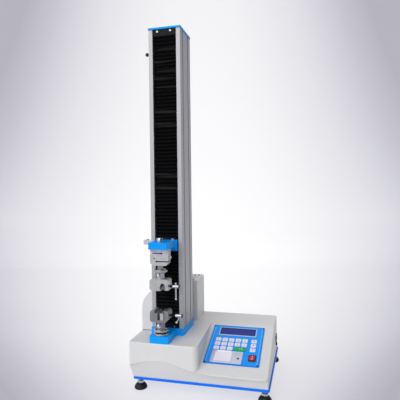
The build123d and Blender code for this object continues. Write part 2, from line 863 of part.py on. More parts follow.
# Crosshead: arm with a tongue at the front and a slide block inside the column's channel
block_bottom = crosshead_bottom + crosshead_thick / 2 - carriage_height / 2
neck_bottom = crosshead_bottom - crosshead_heel
with BuildPart() as crosshead:
    with BuildSketch(Plane.XY.offset(crosshead_bottom)):
        with Locations((axis_x, (tongue_front + carriage_front) / 2)):
            Rectangle(tongue_width, carriage_front - tongue_front)
        with Locations((axis_x, (tongue_back + carriage_front) / 2)):
            Rectangle(crosshead_neck_width, carriage_front - tongue_back)
    extrude(amount=crosshead_thick)
    with BuildSketch(Plane.XY.offset(neck_bottom)):
        with Locations((axis_x, (tongue_back + carriage_front) / 2)):
            Rectangle(crosshead_neck_width, carriage_front - tongue_back)
    extrude(amount=crosshead_heel)
    fillet(crosshead.edges().filter_by(Axis.Z).group_by(Axis.Y)[0], tongue_round)
    webs = [
        e
        for e in crosshead.edges().filter_by(Axis.Z)
        if abs(abs(e.center().X - axis_x) - tongue_width / 2) < 0.01 and e.center().Y > tongue_back - 1
    ]
    fillet(webs, (crosshead_neck_width - tongue_width) / 2 - 0.5)
    heel = [
        e
        for e in crosshead.edges().filter_by(Axis.X)
        if abs(e.center().Y - tongue_back) < 0.01 and abs(e.center().Z - crosshead_bottom) < 0.01
    ]
    fillet(heel, heel_round)
    with BuildSketch(Plane.XY.offset(block_bottom)):
        with Locations((axis_x, (carriage_front + carriage_back) / 2)):
            Rectangle(channel_width - 2 * running, carriage_back - carriage_front)
    extrude(amount=carriage_height)
    with Locations((axis_x, screw_y, block_bottom + carriage_height)):
        Hole(screw_diameter / 2 + running)
    with Locations((axis_x, load_y, crosshead_top)):
        Hole(cell_bolt_diameter / 2 + thread_clearance)
    with Locations((axis_x, top_screw_y, crosshead_top)):
        with GridLocations(top_screw_spread, 1, 2, 1):
            Hole(top_screw_diameter / 2 + thread_clearance, depth=top_screw_length)
crosshead.part.label = "crosshead"
export_step(crosshead.part, "parts/crosshead.step")

# Crosshead bolts: the load-cell bolt and two smaller screws
with BuildPart() as crosshead_bolts:
    with BuildSketch(Plane.XY.offset(crosshead_top)):
        with Locations((axis_x, load_y)):
            Circle(cell_bolt_head / 2)
            RegularPolygon(cell_bolt_head / 4, 6, mode=Mode.SUBTRACT)
    extrude(amount=cell_bolt_head_height)
    with BuildSketch(Plane.XY.offset(crosshead_top + cell_bolt_head_height / 2)):
        with Locations((axis_x, load_y)):
            Circle(cell_bolt_diameter / 2)
    extrude(amount=-(cell_bolt_head_height / 2 + crosshead_thick + cell_bolt_engage))
    with BuildSketch(Plane.XY.offset(crosshead_top)):
        with Locations((axis_x, top_screw_y)):
            with GridLocations(top_screw_spread, 1, 2, 1):
                Circle(top_screw_head / 2)
    extrude(amount=top_screw_head_height)
    with BuildSketch(Plane.XY.offset(crosshead_top)):
        with Locations((axis_x, top_screw_y)):
            with GridLocations(top_screw_spread, 1, 2, 1):
                Circle(top_screw_diameter / 2)
    extrude(amount=-(top_screw_length - end_float))
crosshead_bolts.part.label = "crosshead_bolts"
export_step(crosshead_bolts.part, "parts/crosshead_bolts.step")

# Striker arm from the crosshead round the column's left side
striker_x = axis_x - tongue_width / 2
with BuildPart() as striker_arm:
    with BuildSketch(Plane.XY.offset(crosshead_bottom + striker_up)):
        with BuildLine():
            Polyline(
                (striker_x, striker_front_y - striker_flange),
                (striker_x, striker_front_y + striker_thick),
                (column_left - striker_reach + striker_thick, striker_front_y + striker_thick),
                (column_left - striker_reach + striker_thick, striker_front_y + striker_tail),
                (column_left - striker_reach, striker_front_y + striker_tail),
                (column_left - striker_reach, striker_front_y),
                (striker_x - striker_thick, striker_front_y),
                (striker_x - striker_thick, striker_front_y - striker_flange),
                close=True,
            )
        make_face()
    extrude(amount=striker_height)
    tail = [
        e
        for e in striker_arm.edges().filter_by(Axis.X)
        if abs(e.center().Y - striker_front_y - striker_tail) < 0.01
    ]
    fillet(tail, striker_height / 2.5)
striker_arm.part.label = "striker_arm"
export_step(striker_arm.part, "parts/striker_arm.step")


def pleated_sheet(bottom, top):
    """Folded cover between two heights, seen as a zigzag from the side."""
    folds = max(2, round((top - bottom) / bellows_pitch))
    step = (top - bottom) / (2 * folds)
    front = [
        (bellows_front + (bellows_depth - bellows_sheet if i % 2 else 0), bottom + i * step)
        for i in range(2 * folds + 1)
    ]
    back = [(y + bellows_sheet, z) for y, z in reversed(front)]
    with BuildPart() as sheet:
        with BuildSketch(Plane.YZ.offset(axis_x)):
            with BuildLine():
                Polyline(*front, *back, close=True)
            make_face()
        extrude(amount=bellows_width / 2, both=True)
    return sheet.part


# Bellows above and below the crosshead
bellows_upper = pleated_sheet(crosshead_top + bellows_gap, column_top - upper_clamp_height - bellows_gap)
bellows_upper.label = "bellows_upper"
export_step(bellows_upper, "parts/bellows_upper.step")

bellows_lower = pleated_sheet(plinth_top + lower_clamp_height + bellows_gap, neck_bottom - bellows_gap)
bellows_lower.label = "bellows_lower"
export_step(bellows_lower, "parts/bellows_lower.step")

# Clamp bars that hold the outer ends of the bellows
clamp_y = bellows_front + clamp_thick / 2
with BuildPart() as bellows_clamps:
    with BuildSketch(Plane.XY.offset(plinth_top)):
        with Locations((axis_x, clamp_y)):
            Rectangle(channel_width - 2 * running, clamp_thick)
    extrude(amount=lower_clamp_height)
    with BuildSketch(Plane.XY.offset(column_top)):
        with Locations((axis_x, clamp_y)):
            Rectangle(channel_width - 2 * running, clamp_thick)
    extrude(amount=-upper_clamp_height)
bellows_clamps.part.label = "bellows_clamps"
export_step(bellows_clamps.part, "parts/bellows_clamps.step")

# S-shaped load cell with a cable gland on its right flank
load_plane = Plane.XZ.offset(-load_y)
cell_left = axis_x - cell_width / 2
cell_right = axis_x + cell_width / 2
cell_upper_slot = crosshead_bottom - cell_arm - cell_slot / 2
cell_lower_slot = cell_bottom + cell_arm + cell_slot / 2
cell_upper_end = axis_x + cell_web_end
cell_lower_end = axis_x - cell_web_end
with BuildPart() as cell_block:
    with BuildSketch(load_plane):
        with Locations((axis_x, crosshead_bottom - cell_height / 2)):
            Rectangle(cell_width, cell_height)
    extrude(amount=cell_depth / 2, both=True)
    low_edges = cell_block.edges().filter_by(Axis.Y).group_by(Axis.Z)[0]
    chamfer(low_edges, cell_corner)
    with BuildSketch(load_plane):
        with Locations(((cell_left + cell_upper_end) / 2 - 1, cell_upper_slot)):
            Rectangle(cell_upper_end - cell_left + 2, cell_slot)
        with Locations(((cell_right + cell_lower_end) / 2 + 1, cell_lower_slot)):
            Rectangle(cell_right - cell_lower_end + 2, cell_slot)
        with Locations((cell_upper_end, cell_upper_slot), (cell_lower_end, cell_lower_slot)):
            Circle(cell_slot * 0.8)
    extrude(amount=cell_depth, both=True, mode=Mode.SUBTRACT)
    with Locations((axis_x, load_y, crosshead_bottom)):
        Hole(cell_bolt_diameter / 2 + thread_clearance, depth=cell_bolt_engage + end_float)
    with BuildSketch(Plane.XY.offset(cell_bottom)):
        with Locations((axis_x, load_y)):
            Circle(cell_bolt_diameter / 2 + thread_clearance)
    extrude(amount=cell_bolt_engage + end_float, mode=Mode.SUBTRACT)
with BuildPart() as cell_gland:
    with BuildSketch(Plane.YZ.offset(cell_right)):
        with Locations((load_y, cell_bottom + gland_z_up)):
            Circle(gland_diameter / 2)
    extrude(amount=gland_length)
    chamfer(cell_gland.faces().sort_by(Axis.X)[-1].edges(), 1.5)
load_cell = Compound(label="load_cell", children=[cell_block.part, cell_gland.part])
export_step(load_cell, "parts/load_cell.step")

# Upper adapter: stud into the cell, neck, and spigot for the grip's socket
upper_pin_z = upper_ring_bottom - upper_pin_depth
with BuildPart() as upper_adapter:
    with BuildSketch(load_plane):
        with BuildLine():
            Polyline(
                (axis_x, cell_bottom + cell_bolt_engage),
                (axis_x + cell_bolt_diameter / 2, cell_bottom + cell_bolt_engage),
                (axis_x + cell_bolt_diameter / 2, cell_bottom),
                (axis_x + adapter_neck / 2, cell_bottom),
                (axis_x + adapter_neck / 2, adapter_bottom),
                (axis_x + spigot_diameter / 2, adapter_bottom),
                (axis_x + spigot_diameter / 2, upper_ring_bottom - spigot_length + 1),
                (axis_x + spigot_diameter / 2 - 1, upper_ring_bottom - spigot_length),
                (axis_x, upper_ring_bottom - spigot_length),
                close=True,
            )
        make_face()
    revolve(axis=Axis((axis_x, load_y, 0), (0, 0, 1)))
    with BuildSketch(load_plane):
        with Locations((axis_x, upper_pin_z)):
            Circle(pin_diameter / 2 + running)
    extrude(amount=socket_diameter, both=True, mode=Mode.SUBTRACT)
upper_adapter.part.label = "upper_adapter"
export_step(upper_adapter.part, "parts/upper_adapter.step")

# Lower adapter: the spigot that stands in the plinth and enters the lower grip's socket
lower_pin_z = lower_body_bottom - lower_pin_depth
with BuildPart() as lower_adapter:
    with BuildSketch(Plane.XY.offset(plinth_top - spigot_in_plinth)):
        with Locations((axis_x, load_y)):
            Circle(spigot_diameter / 2)
    extrude(amount=spigot_in_plinth + lower_ring_thick + lower_socket_length - 3)
    chamfer(lower_adapter.faces().sort_by(Axis.Z)[-1].edges(), 1)
    with BuildSketch(load_plane):
        with Locations((axis_x, lower_pin_z)):
            Circle(pin_diameter / 2 + running)
    extrude(amount=socket_diameter, both=True, mode=Mode.SUBTRACT)
lower_adapter.part.label = "lower_adapter"
export_step(lower_adapter.part, "parts/lower_adapter.step")

# Upper lock ring: a bevelled disc with a dished face
with BuildPart() as upper_lock_ring:
    with BuildSketch(load_plane):
        with BuildLine():
            Polyline(
                (axis_x + spigot_diameter / 2 + spigot_clearance, upper_ring_bottom),
                (axis_x + upper_ring_diameter / 2 - ring_bevel, upper_ring_bottom),
                (axis_x + upper_ring_diameter / 2, upper_ring_bottom + ring_bevel),
                (axis_x + upper_ring_diameter / 2, adapter_bottom - ring_bevel),
                (axis_x + upper_ring_diameter / 2 - ring_bevel, adapter_bottom),
                (axis_x + upper_ring_diameter / 2 - ring_rim_width, adapter_bottom),
                (axis_x + upper_ring_diameter / 2 - ring_rim_width - ring_dish, adapter_bottom - ring_dish),
                (axis_x + socket_diameter / 2, adapter_bottom - ring_dish),
                (axis_x + adapter_neck / 2, adapter_bottom),
                (axis_x + spigot_diameter / 2 + spigot_clearance, adapter_bottom),
                close=True,
            )
        make_face()
    revolve(axis=Axis((axis_x, load_y, 0), (0, 0, 1)))
    with Locations((axis_x, load_y, upper_ring_bottom + upper_ring_thick / 2 - 0.5)):
        with PolarLocations(upper_ring_diameter / 2, ring_holes):
            Cylinder(ring_hole / 2, ring_rim_width, rotation=(0, 90, 0), mode=Mode.SUBTRACT)
upper_lock_ring.part.label = "upper_lock_ring"
export_step(upper_lock_ring.part, "parts/upper_lock_ring.step")

# Lower lock ring: two rims with a waist between them
with BuildPart() as lower_lock_ring:
    with BuildSketch(load_plane):
        with BuildLine():
            Polyline(
                (axis_x + spigot_diameter / 2 + spigot_clearance, plinth_top),
                (axis_x + lower_ring_diameter / 2 - ring_bevel, plinth_top),
                (axis_x + lower_ring_diameter / 2, plinth_top + ring_bevel),
                (axis_x + lower_ring_diameter / 2, plinth_top + lower_ring_rim - ring_bevel),
                (axis_x + lower_ring_diameter / 2 - ring_bevel, plinth_top + lower_ring_rim),
                (axis_x + lower_ring_diameter / 2 - lower_ring_waist, plinth_top + lower_ring_rim),
                (axis_x + lower_ring_diameter / 2 - lower_ring_waist, lower_ring_top - lower_ring_rim),
                (axis_x + lower_ring_diameter / 2 - ring_bevel, lower_ring_top - lower_ring_rim),
                (axis_x + lower_ring_diameter / 2, lower_ring_top - lower_ring_rim + ring_bevel),
                (axis_x + lower_ring_diameter / 2, lower_ring_top - ring_bevel),
                (axis_x + lower_ring_diameter / 2 - ring_bevel, lower_ring_top),
                (axis_x + lower_ring_diameter / 2 - ring_rim_width, lower_ring_top),
                (axis_x + lower_ring_diameter / 2 - ring_rim_width - ring_dish, lower_ring_top - ring_dish),
                (axis_x + socket_diameter / 2 + ring_dish, lower_ring_top - ring_dish),
                (axis_x + socket_diameter / 2, lower_ring_top),
                (axis_x + spigot_diameter / 2 + spigot_clearance, lower_ring_top),
                close=True,
            )
        make_face()
    revolve(axis=Axis((axis_x, load_y, 0), (0, 0, 1)))
    waist_radius = lower_ring_diameter / 2 - lower_ring_waist
    with Locations((axis_x, load_y, plinth_top + lower_ring_thick / 2)):
        with PolarLocations(waist_radius, ring_holes):
            Cylinder(ring_hole / 2, lower_ring_waist, rotation=(0, 90, 0), mode=Mode.SUBTRACT)
lower_lock_ring.part.label = "lower_lock_ring"
export_step(lower_lock_ring.part, "parts/lower_lock_ring.step")

# Cross pins with a ball to pull them by
pin_list = {
    "upper_grip_pin": (upper_pin_z, upper_pin_ball),
    "lower_grip_pin": (lower_pin_z, lower_pin_ball),
}
for pin_name, (pin_z, ball) in pin_list.items():
    ball_y = load_y - socket_diameter / 2 - ball / 2 - pin_stand_off
    with BuildPart() as grip_pin:
        with BuildSketch(Plane.XZ.offset(-ball_y)):
            with Locations((axis_x, pin_z)):
                Circle(pin_diameter / 2)
        extrude(amount=-(socket_diameter + pin_stand_off + ball / 2 + pin_tail))
        with Locations((axis_x, ball_y, pin_z)):
            Sphere(ball / 2)
    grip_pin.part.label = pin_name
    export_step(grip_pin.part, f"parts/{pin_name}.step")

# Upper grip: socket over an inverted U with the screw in its right leg
upper_leg_inner = grip_right - upper_leg_width
upper_jaw_right = upper_leg_inner - jaw_clearance
upper_jaw_left = upper_jaw_right - upper_jaw_thick
upper_fixed_face = upper_jaw_left - upper_jaw_gap
upper_arch = (upper_leg_inner - upper_fixed_face) / 2
upper_arch_top = upper_body_top - upper_crown
with BuildPart() as upper_grip_body:
    with BuildSketch(load_plane):
        with BuildLine():
            arch = ThreePointArc(
                (upper_leg_inner, upper_arch_top - upper_arch),
                (upper_leg_inner - upper_arch, upper_arch_top),
                (upper_fixed_face, upper_arch_top - upper_arch),
            )
            Polyline(
                arch @ 1,
                (upper_fixed_face, upper_body_bottom),
                (grip_left + grip_chamfer, upper_body_bottom),
                (grip_left, upper_body_bottom + grip_chamfer),
                (grip_left, upper_body_top - grip_chamfer),
                (grip_left + grip_chamfer, upper_body_top),
                (grip_right - grip_chamfer, upper_body_top),
                (grip_right, upper_body_top - grip_chamfer),
                (grip_right, upper_body_bottom + upper_leg_short),
                (upper_leg_inner, upper_body_bottom + upper_leg_short),
                arch @ 0,
            )
        make_face()
    extrude(amount=grip_depth / 2, both=True)
    with BuildSketch(load_plane):
        with Locations((upper_fixed_face - upper_fixed_jaw / 2, upper_screw_z)):
            Rectangle(upper_fixed_jaw, upper_jaw_height)
    extrude(amount=jaw_depth / 2, both=True)
    with BuildSketch(Plane.XY.offset(upper_body_top)):
        with Locations((axis_x, load_y)):
            Circle(socket_diameter / 2)
    extrude(amount=socket_length)
    with BuildSketch(Plane.XY.offset(upper_ring_bottom)):
        with Locations((axis_x, load_y)):
            Circle(spigot_diameter / 2 + spigot_clearance)
    extrude(amount=-(spigot_length + end_float), mode=Mode.SUBTRACT)
    with BuildSketch(load_plane):
        with Locations((axis_x, upper_pin_z)):
            Circle(pin_diameter / 2 + running)
    extrude(amount=socket_diameter, both=True, mode=Mode.SUBTRACT)
    with BuildSketch(Plane.YZ.offset(upper_leg_inner - 1)):
        with Locations((load_y, upper_screw_z)):
            Circle(clamp_diameter / 2 + running)
    extrude(amount=upper_leg_width + 2, mode=Mode.SUBTRACT)
upper_grip_body.part.label = "upper_grip_body"
export_step(upper_grip_body.part, "parts/upper_grip_body.step")

# Lower grip: a U on a socket, left block fixed, right block with the screw
lower_leg_inner = grip_right - lower_leg_width
lower_jaw_right = lower_leg_inner - jaw_clearance
lower_jaw_left = lower_jaw_right - lower_jaw_thick
lower_fixed_face = lower_jaw_left - lower_jaw_gap
with BuildPart() as lower_grip_body:
    with BuildSketch(load_plane):
        with BuildLine():
            Polyline(
                (lower_fixed_face - lower_fixed_jaw, lower_body_bottom + lower_web),
                (lower_leg_inner, lower_body_bottom + lower_web),
                (lower_leg_inner, lower_body_top),
                (grip_right - grip_chamfer, lower_body_top),
                (grip_right, lower_body_top - grip_chamfer),
                (grip_right, lower_body_bottom + lower_leg_chamfer),
                (grip_right - lower_leg_chamfer, lower_body_bottom),
                (grip_left + grip_chamfer, lower_body_bottom),
                (grip_left, lower_body_bottom + grip_chamfer),
                (grip_left, lower_body_top - grip_chamfer),
                (grip_left + grip_chamfer, lower_body_top),
                (lower_fixed_face - lower_fixed_jaw, lower_body_top),
                close=True,
            )
        make_face()
    extrude(amount=grip_depth / 2, both=True)
    with BuildSketch(load_plane):
        with Locations((lower_fixed_face - lower_fixed_jaw / 2, lower_screw_z)):
            Rectangle(lower_fixed_jaw, lower_jaw_height)
    extrude(amount=jaw_depth / 2, both=True)
    with BuildSketch(Plane.XY.offset(lower_ring_top)):
        with Locations((axis_x, load_y)):
            Circle(socket_diameter / 2)
    extrude(amount=lower_socket_length)
    with BuildSketch(Plane.XY.offset(lower_ring_top)):
        with Locations((axis_x, load_y)):
            Circle(spigot_diameter / 2 + spigot_clearance)
    extrude(amount=lower_socket_length - 3 + end_float, mode=Mode.SUBTRACT)
    with BuildSketch(load_plane):
        with Locations((axis_x, lower_pin_z)):
            Circle(pin_diameter / 2 + running)
    extrude(amount=socket_diameter, both=True, mode=Mode.SUBTRACT)
    with BuildSketch(Plane.YZ.offset(lower_leg_inner - 1)):
        with Locations((load_y, lower_screw_z)):
            Circle(clamp_diameter / 2 + running)
    extrude(amount=lower_leg_width + 2, mode=Mode.SUBTRACT)
lower_grip_body.part.label = "lower_grip_body"
export_step(lower_grip_body.part, "parts/lower_grip_body.step")

# Moving jaws, each with a seat for the screw's tip
jaw_list = {
    "upper_jaw": (upper_jaw_left, upper_jaw_thick, upper_screw_z, upper_jaw_height),
    "lower_jaw": (lower_jaw_left, lower_jaw_thick, lower_screw_z, lower_jaw_height),
}
for jaw_name, (jx, jt, jz, jh) in jaw_list.items():
    with BuildPart() as jaw:
        with BuildSketch(Plane.YZ.offset(jx)):
            with Locations((load_y, jz)):
                Rectangle(jaw_depth, jh)
        extrude(amount=jt)
        chamfer(jaw.edges().filter_by(Axis.Y).group_by(Axis.X)[-1], 1)
        with BuildSketch(Plane.YZ.offset(jx + jt)):
            with Locations((load_y, jz)):
                Circle(clamp_tip_diameter / 2 + running)
        extrude(amount=-(clamp_tip_length + end_float), mode=Mode.SUBTRACT)
    jaw.part.label = jaw_name
    export_step(jaw.part, f"parts/{jaw_name}.step")

# Clamp screws: tip, shaft and a knurled hub with a cross hole for the tommy bar
lower_bar_tilt = math.radians(lower_bar_angle)
upper_bar_dir = (0.0, 0.0, -1.0)
lower_bar_dir = (0.0, -math.cos(lower_bar_tilt), -math.sin(lower_bar_tilt))
upper_bar_x = grip_right + upper_hub_gap + upper_bar_in_hub
lower_bar_x = grip_right + lower_hub_gap + lower_bar_in_hub
screw_list = {
    "upper_clamp_screw": (upper_jaw_right, upper_screw_z, upper_hub_gap, upper_bar_x, upper_bar_dir),
    "lower_clamp_screw": (lower_jaw_right, lower_screw_z, lower_hub_gap, lower_bar_x, lower_bar_dir),
}
for screw_name, (tip_x, sz, hub_gap, bar_x, bar_dir) in screw_list.items():
    hub_x = grip_right + hub_gap
    with BuildPart() as clamp_screw:
        with BuildSketch(Plane.XZ.offset(-load_y)):
            with BuildLine():
                Polyline(
                    (tip_x - clamp_tip_length, sz),
                    (tip_x - clamp_tip_length, sz + clamp_tip_diameter / 2),
                    (tip_x, sz + clamp_tip_diameter / 2),
                    (tip_x, sz + clamp_diameter / 2),
                    (hub_x, sz + clamp_diameter / 2),
                    (hub_x, sz + hub_diameter / 2 - 1),
                    (hub_x + 1, sz + hub_diameter / 2),
                    (hub_x + hub_length - 1.5, sz + hub_diameter / 2),
                    (hub_x + hub_length, sz + hub_diameter / 2 - 1.5),
                    (hub_x + hub_length, sz),
                    close=True,
                )
            make_face()
        revolve(axis=Axis((tip_x, load_y, sz), (1, 0, 0)))
        with BuildSketch(Plane(origin=(bar_x, load_y, sz), z_dir=bar_dir)):
            Circle(bar_diameter / 2 + bar_clearance)
        extrude(amount=hub_diameter, both=True, mode=Mode.SUBTRACT)
    clamp_screw.part.label = screw_name
    export_step(clamp_screw.part, f"parts/{screw_name}.step")

# Tommy bars: the upper one hangs on its top ball, the lower one points to the front
bar_rest = hub_diameter / 2 + bar_ball / 2 + bar_stop_gap
bar_list = {
    "upper_tommy_bar": (upper_bar_x, upper_screw_z, upper_bar_dir, bar_length - bar_rest),
    "lower_tommy_bar": (lower_bar_x, lower_screw_z, lower_bar_dir, lower_bar_forward),
}
for bar_name, (bx, bz, bar_dir, reach) in bar_list.items():
    bar_plane = Plane(origin=(bx, load_y, bz), z_dir=bar_dir)
    far_end = bar_plane.offset(reach).origin
    near_end = bar_plane.offset(reach - bar_length).origin
    with BuildPart() as tommy_bar:
        with BuildSketch(bar_plane.offset(reach - bar_length)):
            Circle(bar_diameter / 2)
        extrude(amount=bar_length)
        with Locations(far_end, near_end):
            Sphere(bar_ball / 2)
    tommy_bar.part.label = bar_name
    export_step(tommy_bar.part, f"parts/{bar_name}.step")

# Travel stop: a nut in the column's left slot, washer and ball-headed clamp stud
stop_ball_x = column_left - stop_washer_thick - stop_stand_off - stop_ball / 2
with BuildPart() as stop_nut:
    with BuildSketch(Plane.YZ.offset(column_left + slot_lip + running)):
        with Locations((slot_y[0], stop_z)):
            Rectangle(slot_room_width - 4 * running, stop_nut_height)
            Circle(stop_stud / 2 + thread_clearance, mode=Mode.SUBTRACT)
    extrude(amount=slot_room_depth - 4 * running)
with BuildPart() as stop_knob:
    with BuildSketch(Plane.YZ.offset(column_left)):
        with Locations((slot_y[0], stop_z)):
            Circle(stop_washer / 2)
    extrude(amount=-stop_washer_thick)
    with BuildSketch(Plane.YZ.offset(column_left + slot_lip + slot_room_depth / 2)):
        with Locations((slot_y[0], stop_z)):
            Circle(stop_stud / 2)
    extrude(amount=stop_ball_x - column_left - slot_lip - slot_room_depth / 2)
    with Locations((stop_ball_x, slot_y[0], stop_z)):
        Sphere(stop_ball / 2)
travel_stop = Compound(label="travel_stop", children=[stop_nut.part, stop_knob.part])
export_step(travel_stop, "parts/travel_stop.step")


def cover_form(inset, base):
    """Rear cover's outer form, or the room inside it when inset by the wall."""
    left = shell_left + inset
    right = cover_right - inset
    top = cover_top - inset
    radius = cover_shoulder - inset
    with BuildPart() as form:
        with BuildSketch(Plane.XZ.offset(-(cover_wing_front + inset))):
            with BuildLine():
                shoulder = ThreePointArc(
                    (left, top - radius),
                    (left + radius * (1 - math.sqrt(0.5)), top - radius * (1 - math.sqrt(0.5))),
                    (left + radius, top),
                )
                Polyline(shoulder @ 1, (right, top), (right, base), (left, base), shoulder @ 0)
            make_face()
        extrude(amount=-(shell_back - cover_wing_front - 2 * inset))
        back_right = [
            e
            for e in form.edges().filter_by(Axis.Z)
            if e.center().X > right - 1 and e.center().Y > shell_back - inset - 1
        ]
        fillet(back_right, cover_back_round - inset)
        with BuildSketch(Plane.XY.offset(base)):
            with BuildLine():
                Polyline(
                    (column_left - cover_wing_gap - inset, cover_wing_front - 1),
                    (column_left - cover_wing_gap - inset, cover_front + inset),
                    (cover_right + 1, cover_front + inset),
                    (cover_right + 1, cover_wing_front - 1),
                    close=True,
                )
            make_face()
        extrude(amount=cover_top, mode=Mode.SUBTRACT)
    return form.part


# Rear cover: thin shell with a rounded left shoulder and a wing beside the column
with BuildPart() as rear_cover:
    add(cover_form(0, housing_top))
    add(cover_form(cover_wall, housing_top - 1), mode=Mode.SUBTRACT)
    with BuildSketch(Plane.XY.offset(cover_top - 2 * cover_wall)):
        with Locations((cover_right - vent_length, (cover_front + shell_back) / 2)):
            with GridLocations(1, vent_pitch, 1, vent_count):
                SlotOverall(vent_length, vent_width)
    extrude(amount=4 * cover_wall, mode=Mode.SUBTRACT)
rear_cover.part.label = "rear_cover"
export_step(rear_cover.part, "parts/rear_cover.step")
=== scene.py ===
"""Bench-top peel tester: one driven column, vice grips, a load cell and a sloping keypad console."""
import math

import bmesh
import bpy
from mathutils import Matrix, Vector


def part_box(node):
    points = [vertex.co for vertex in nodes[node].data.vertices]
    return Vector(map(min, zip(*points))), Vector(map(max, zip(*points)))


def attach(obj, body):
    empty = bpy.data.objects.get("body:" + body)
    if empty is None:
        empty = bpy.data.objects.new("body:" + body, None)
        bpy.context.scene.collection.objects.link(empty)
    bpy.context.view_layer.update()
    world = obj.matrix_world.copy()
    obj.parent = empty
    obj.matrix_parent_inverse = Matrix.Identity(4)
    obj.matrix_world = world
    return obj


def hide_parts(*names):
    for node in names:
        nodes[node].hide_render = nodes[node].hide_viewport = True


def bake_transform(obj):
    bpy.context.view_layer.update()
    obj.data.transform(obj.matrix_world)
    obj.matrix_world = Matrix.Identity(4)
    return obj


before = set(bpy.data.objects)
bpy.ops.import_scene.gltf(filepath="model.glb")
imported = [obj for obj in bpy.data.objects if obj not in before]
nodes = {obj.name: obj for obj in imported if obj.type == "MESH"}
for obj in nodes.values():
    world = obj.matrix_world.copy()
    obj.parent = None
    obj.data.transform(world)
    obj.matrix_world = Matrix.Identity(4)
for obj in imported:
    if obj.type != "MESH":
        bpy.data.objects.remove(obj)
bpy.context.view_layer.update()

# Camera: at the operator's right, a little above the middle of the column, turned to the left.
# Its place, angles and lens come from fitting the machine's straight edges in the picture.
camera_at = Vector((0.3400, -1.4467, 0.6551))
pan, dip, lean = math.radians(14.351), math.radians(1.33), math.radians(-0.653)
ahead = Vector((-math.sin(pan) * math.cos(dip), math.cos(pan) * math.cos(dip), -math.sin(dip)))
level = Vector((math.cos(pan), math.sin(pan), 0))
upright = level.cross(ahead)
right_way = level * math.cos(lean) + upright * math.sin(lean)
up_way = upright * math.cos(lean) - level * math.sin(lean)
camera = bpy.data.objects.new("camera", bpy.data.cameras.new("camera"))
turn = Matrix((right_way, up_way, -ahead)).transposed()
camera.matrix_world = Matrix.Translation(camera_at) @ turn.to_4x4()
camera.data.sensor_width = 36
camera.data.lens = 38.17
camera.data.clip_start = 0.05
bpy.context.scene.collection.objects.link(camera)
bpy.context.scene.camera = camera
bpy.context.scene.view_settings.view_transform = "Standard"


# Studio: one roll of pale paper, swept from the bench up behind the machine.
# It glows with a painted pool of light, brightest behind the column and greying outwards, and it still takes
# the machine's shadow.
class Value:
    """A shader socket that can be used in plain arithmetic."""

    def __init__(self, tree, out):
        self.tree, self.out = tree, out

    def sum(self, operation, *terms):
        """Adds one Math node; each term is a Value or a plain number."""
        made = self.tree.nodes.new("ShaderNodeMath")
        made.operation = operation
        for socket, term in zip(made.inputs, terms):
            if isinstance(term, Value):
                self.tree.links.new(term.out, socket)
            else:
                socket.default_value = term
        return Value(self.tree, made.outputs[0])

    def __add__(self, other):
        return self.sum("ADD", self, other)

    def __sub__(self, other):
        return self.sum("SUBTRACT", self, other)

    def __rsub__(self, other):
        return self.sum("SUBTRACT", other, self)

    def __mul__(self, other):
        return self.sum("MULTIPLY", self, other)

    def __truediv__(self, other):
        return self.sum("DIVIDE", self, other)

    def __pow__(self, other):
        return self.sum("POWER", self, other)

    def __mod__(self, other):
        return self.sum("FLOORED_MODULO", self, other)

    def __lt__(self, other):
        return self.sum("LESS_THAN", self, other)

    def __gt__(self, other):
        return self.sum("GREATER_THAN", self, other)

    def __abs__(self):
        return self.sum("ABSOLUTE", self)

    def above(self, other):
        """The larger of the two."""
        return self.sum("MAXIMUM", self, other)

    __radd__ = __add__
    __rmul__ = __mul__


def tone(colour):
    """A screen colour such as #1a90ff as the linear numbers that shaders take."""
    parts = [int(colour[i : i + 2], 16) / 255 for i in (1, 3, 5)]
    return tuple(c / 12.92 if c <= 0.04045 else ((c + 0.055) / 1.055) ** 2.4 for c in parts) + (1,)


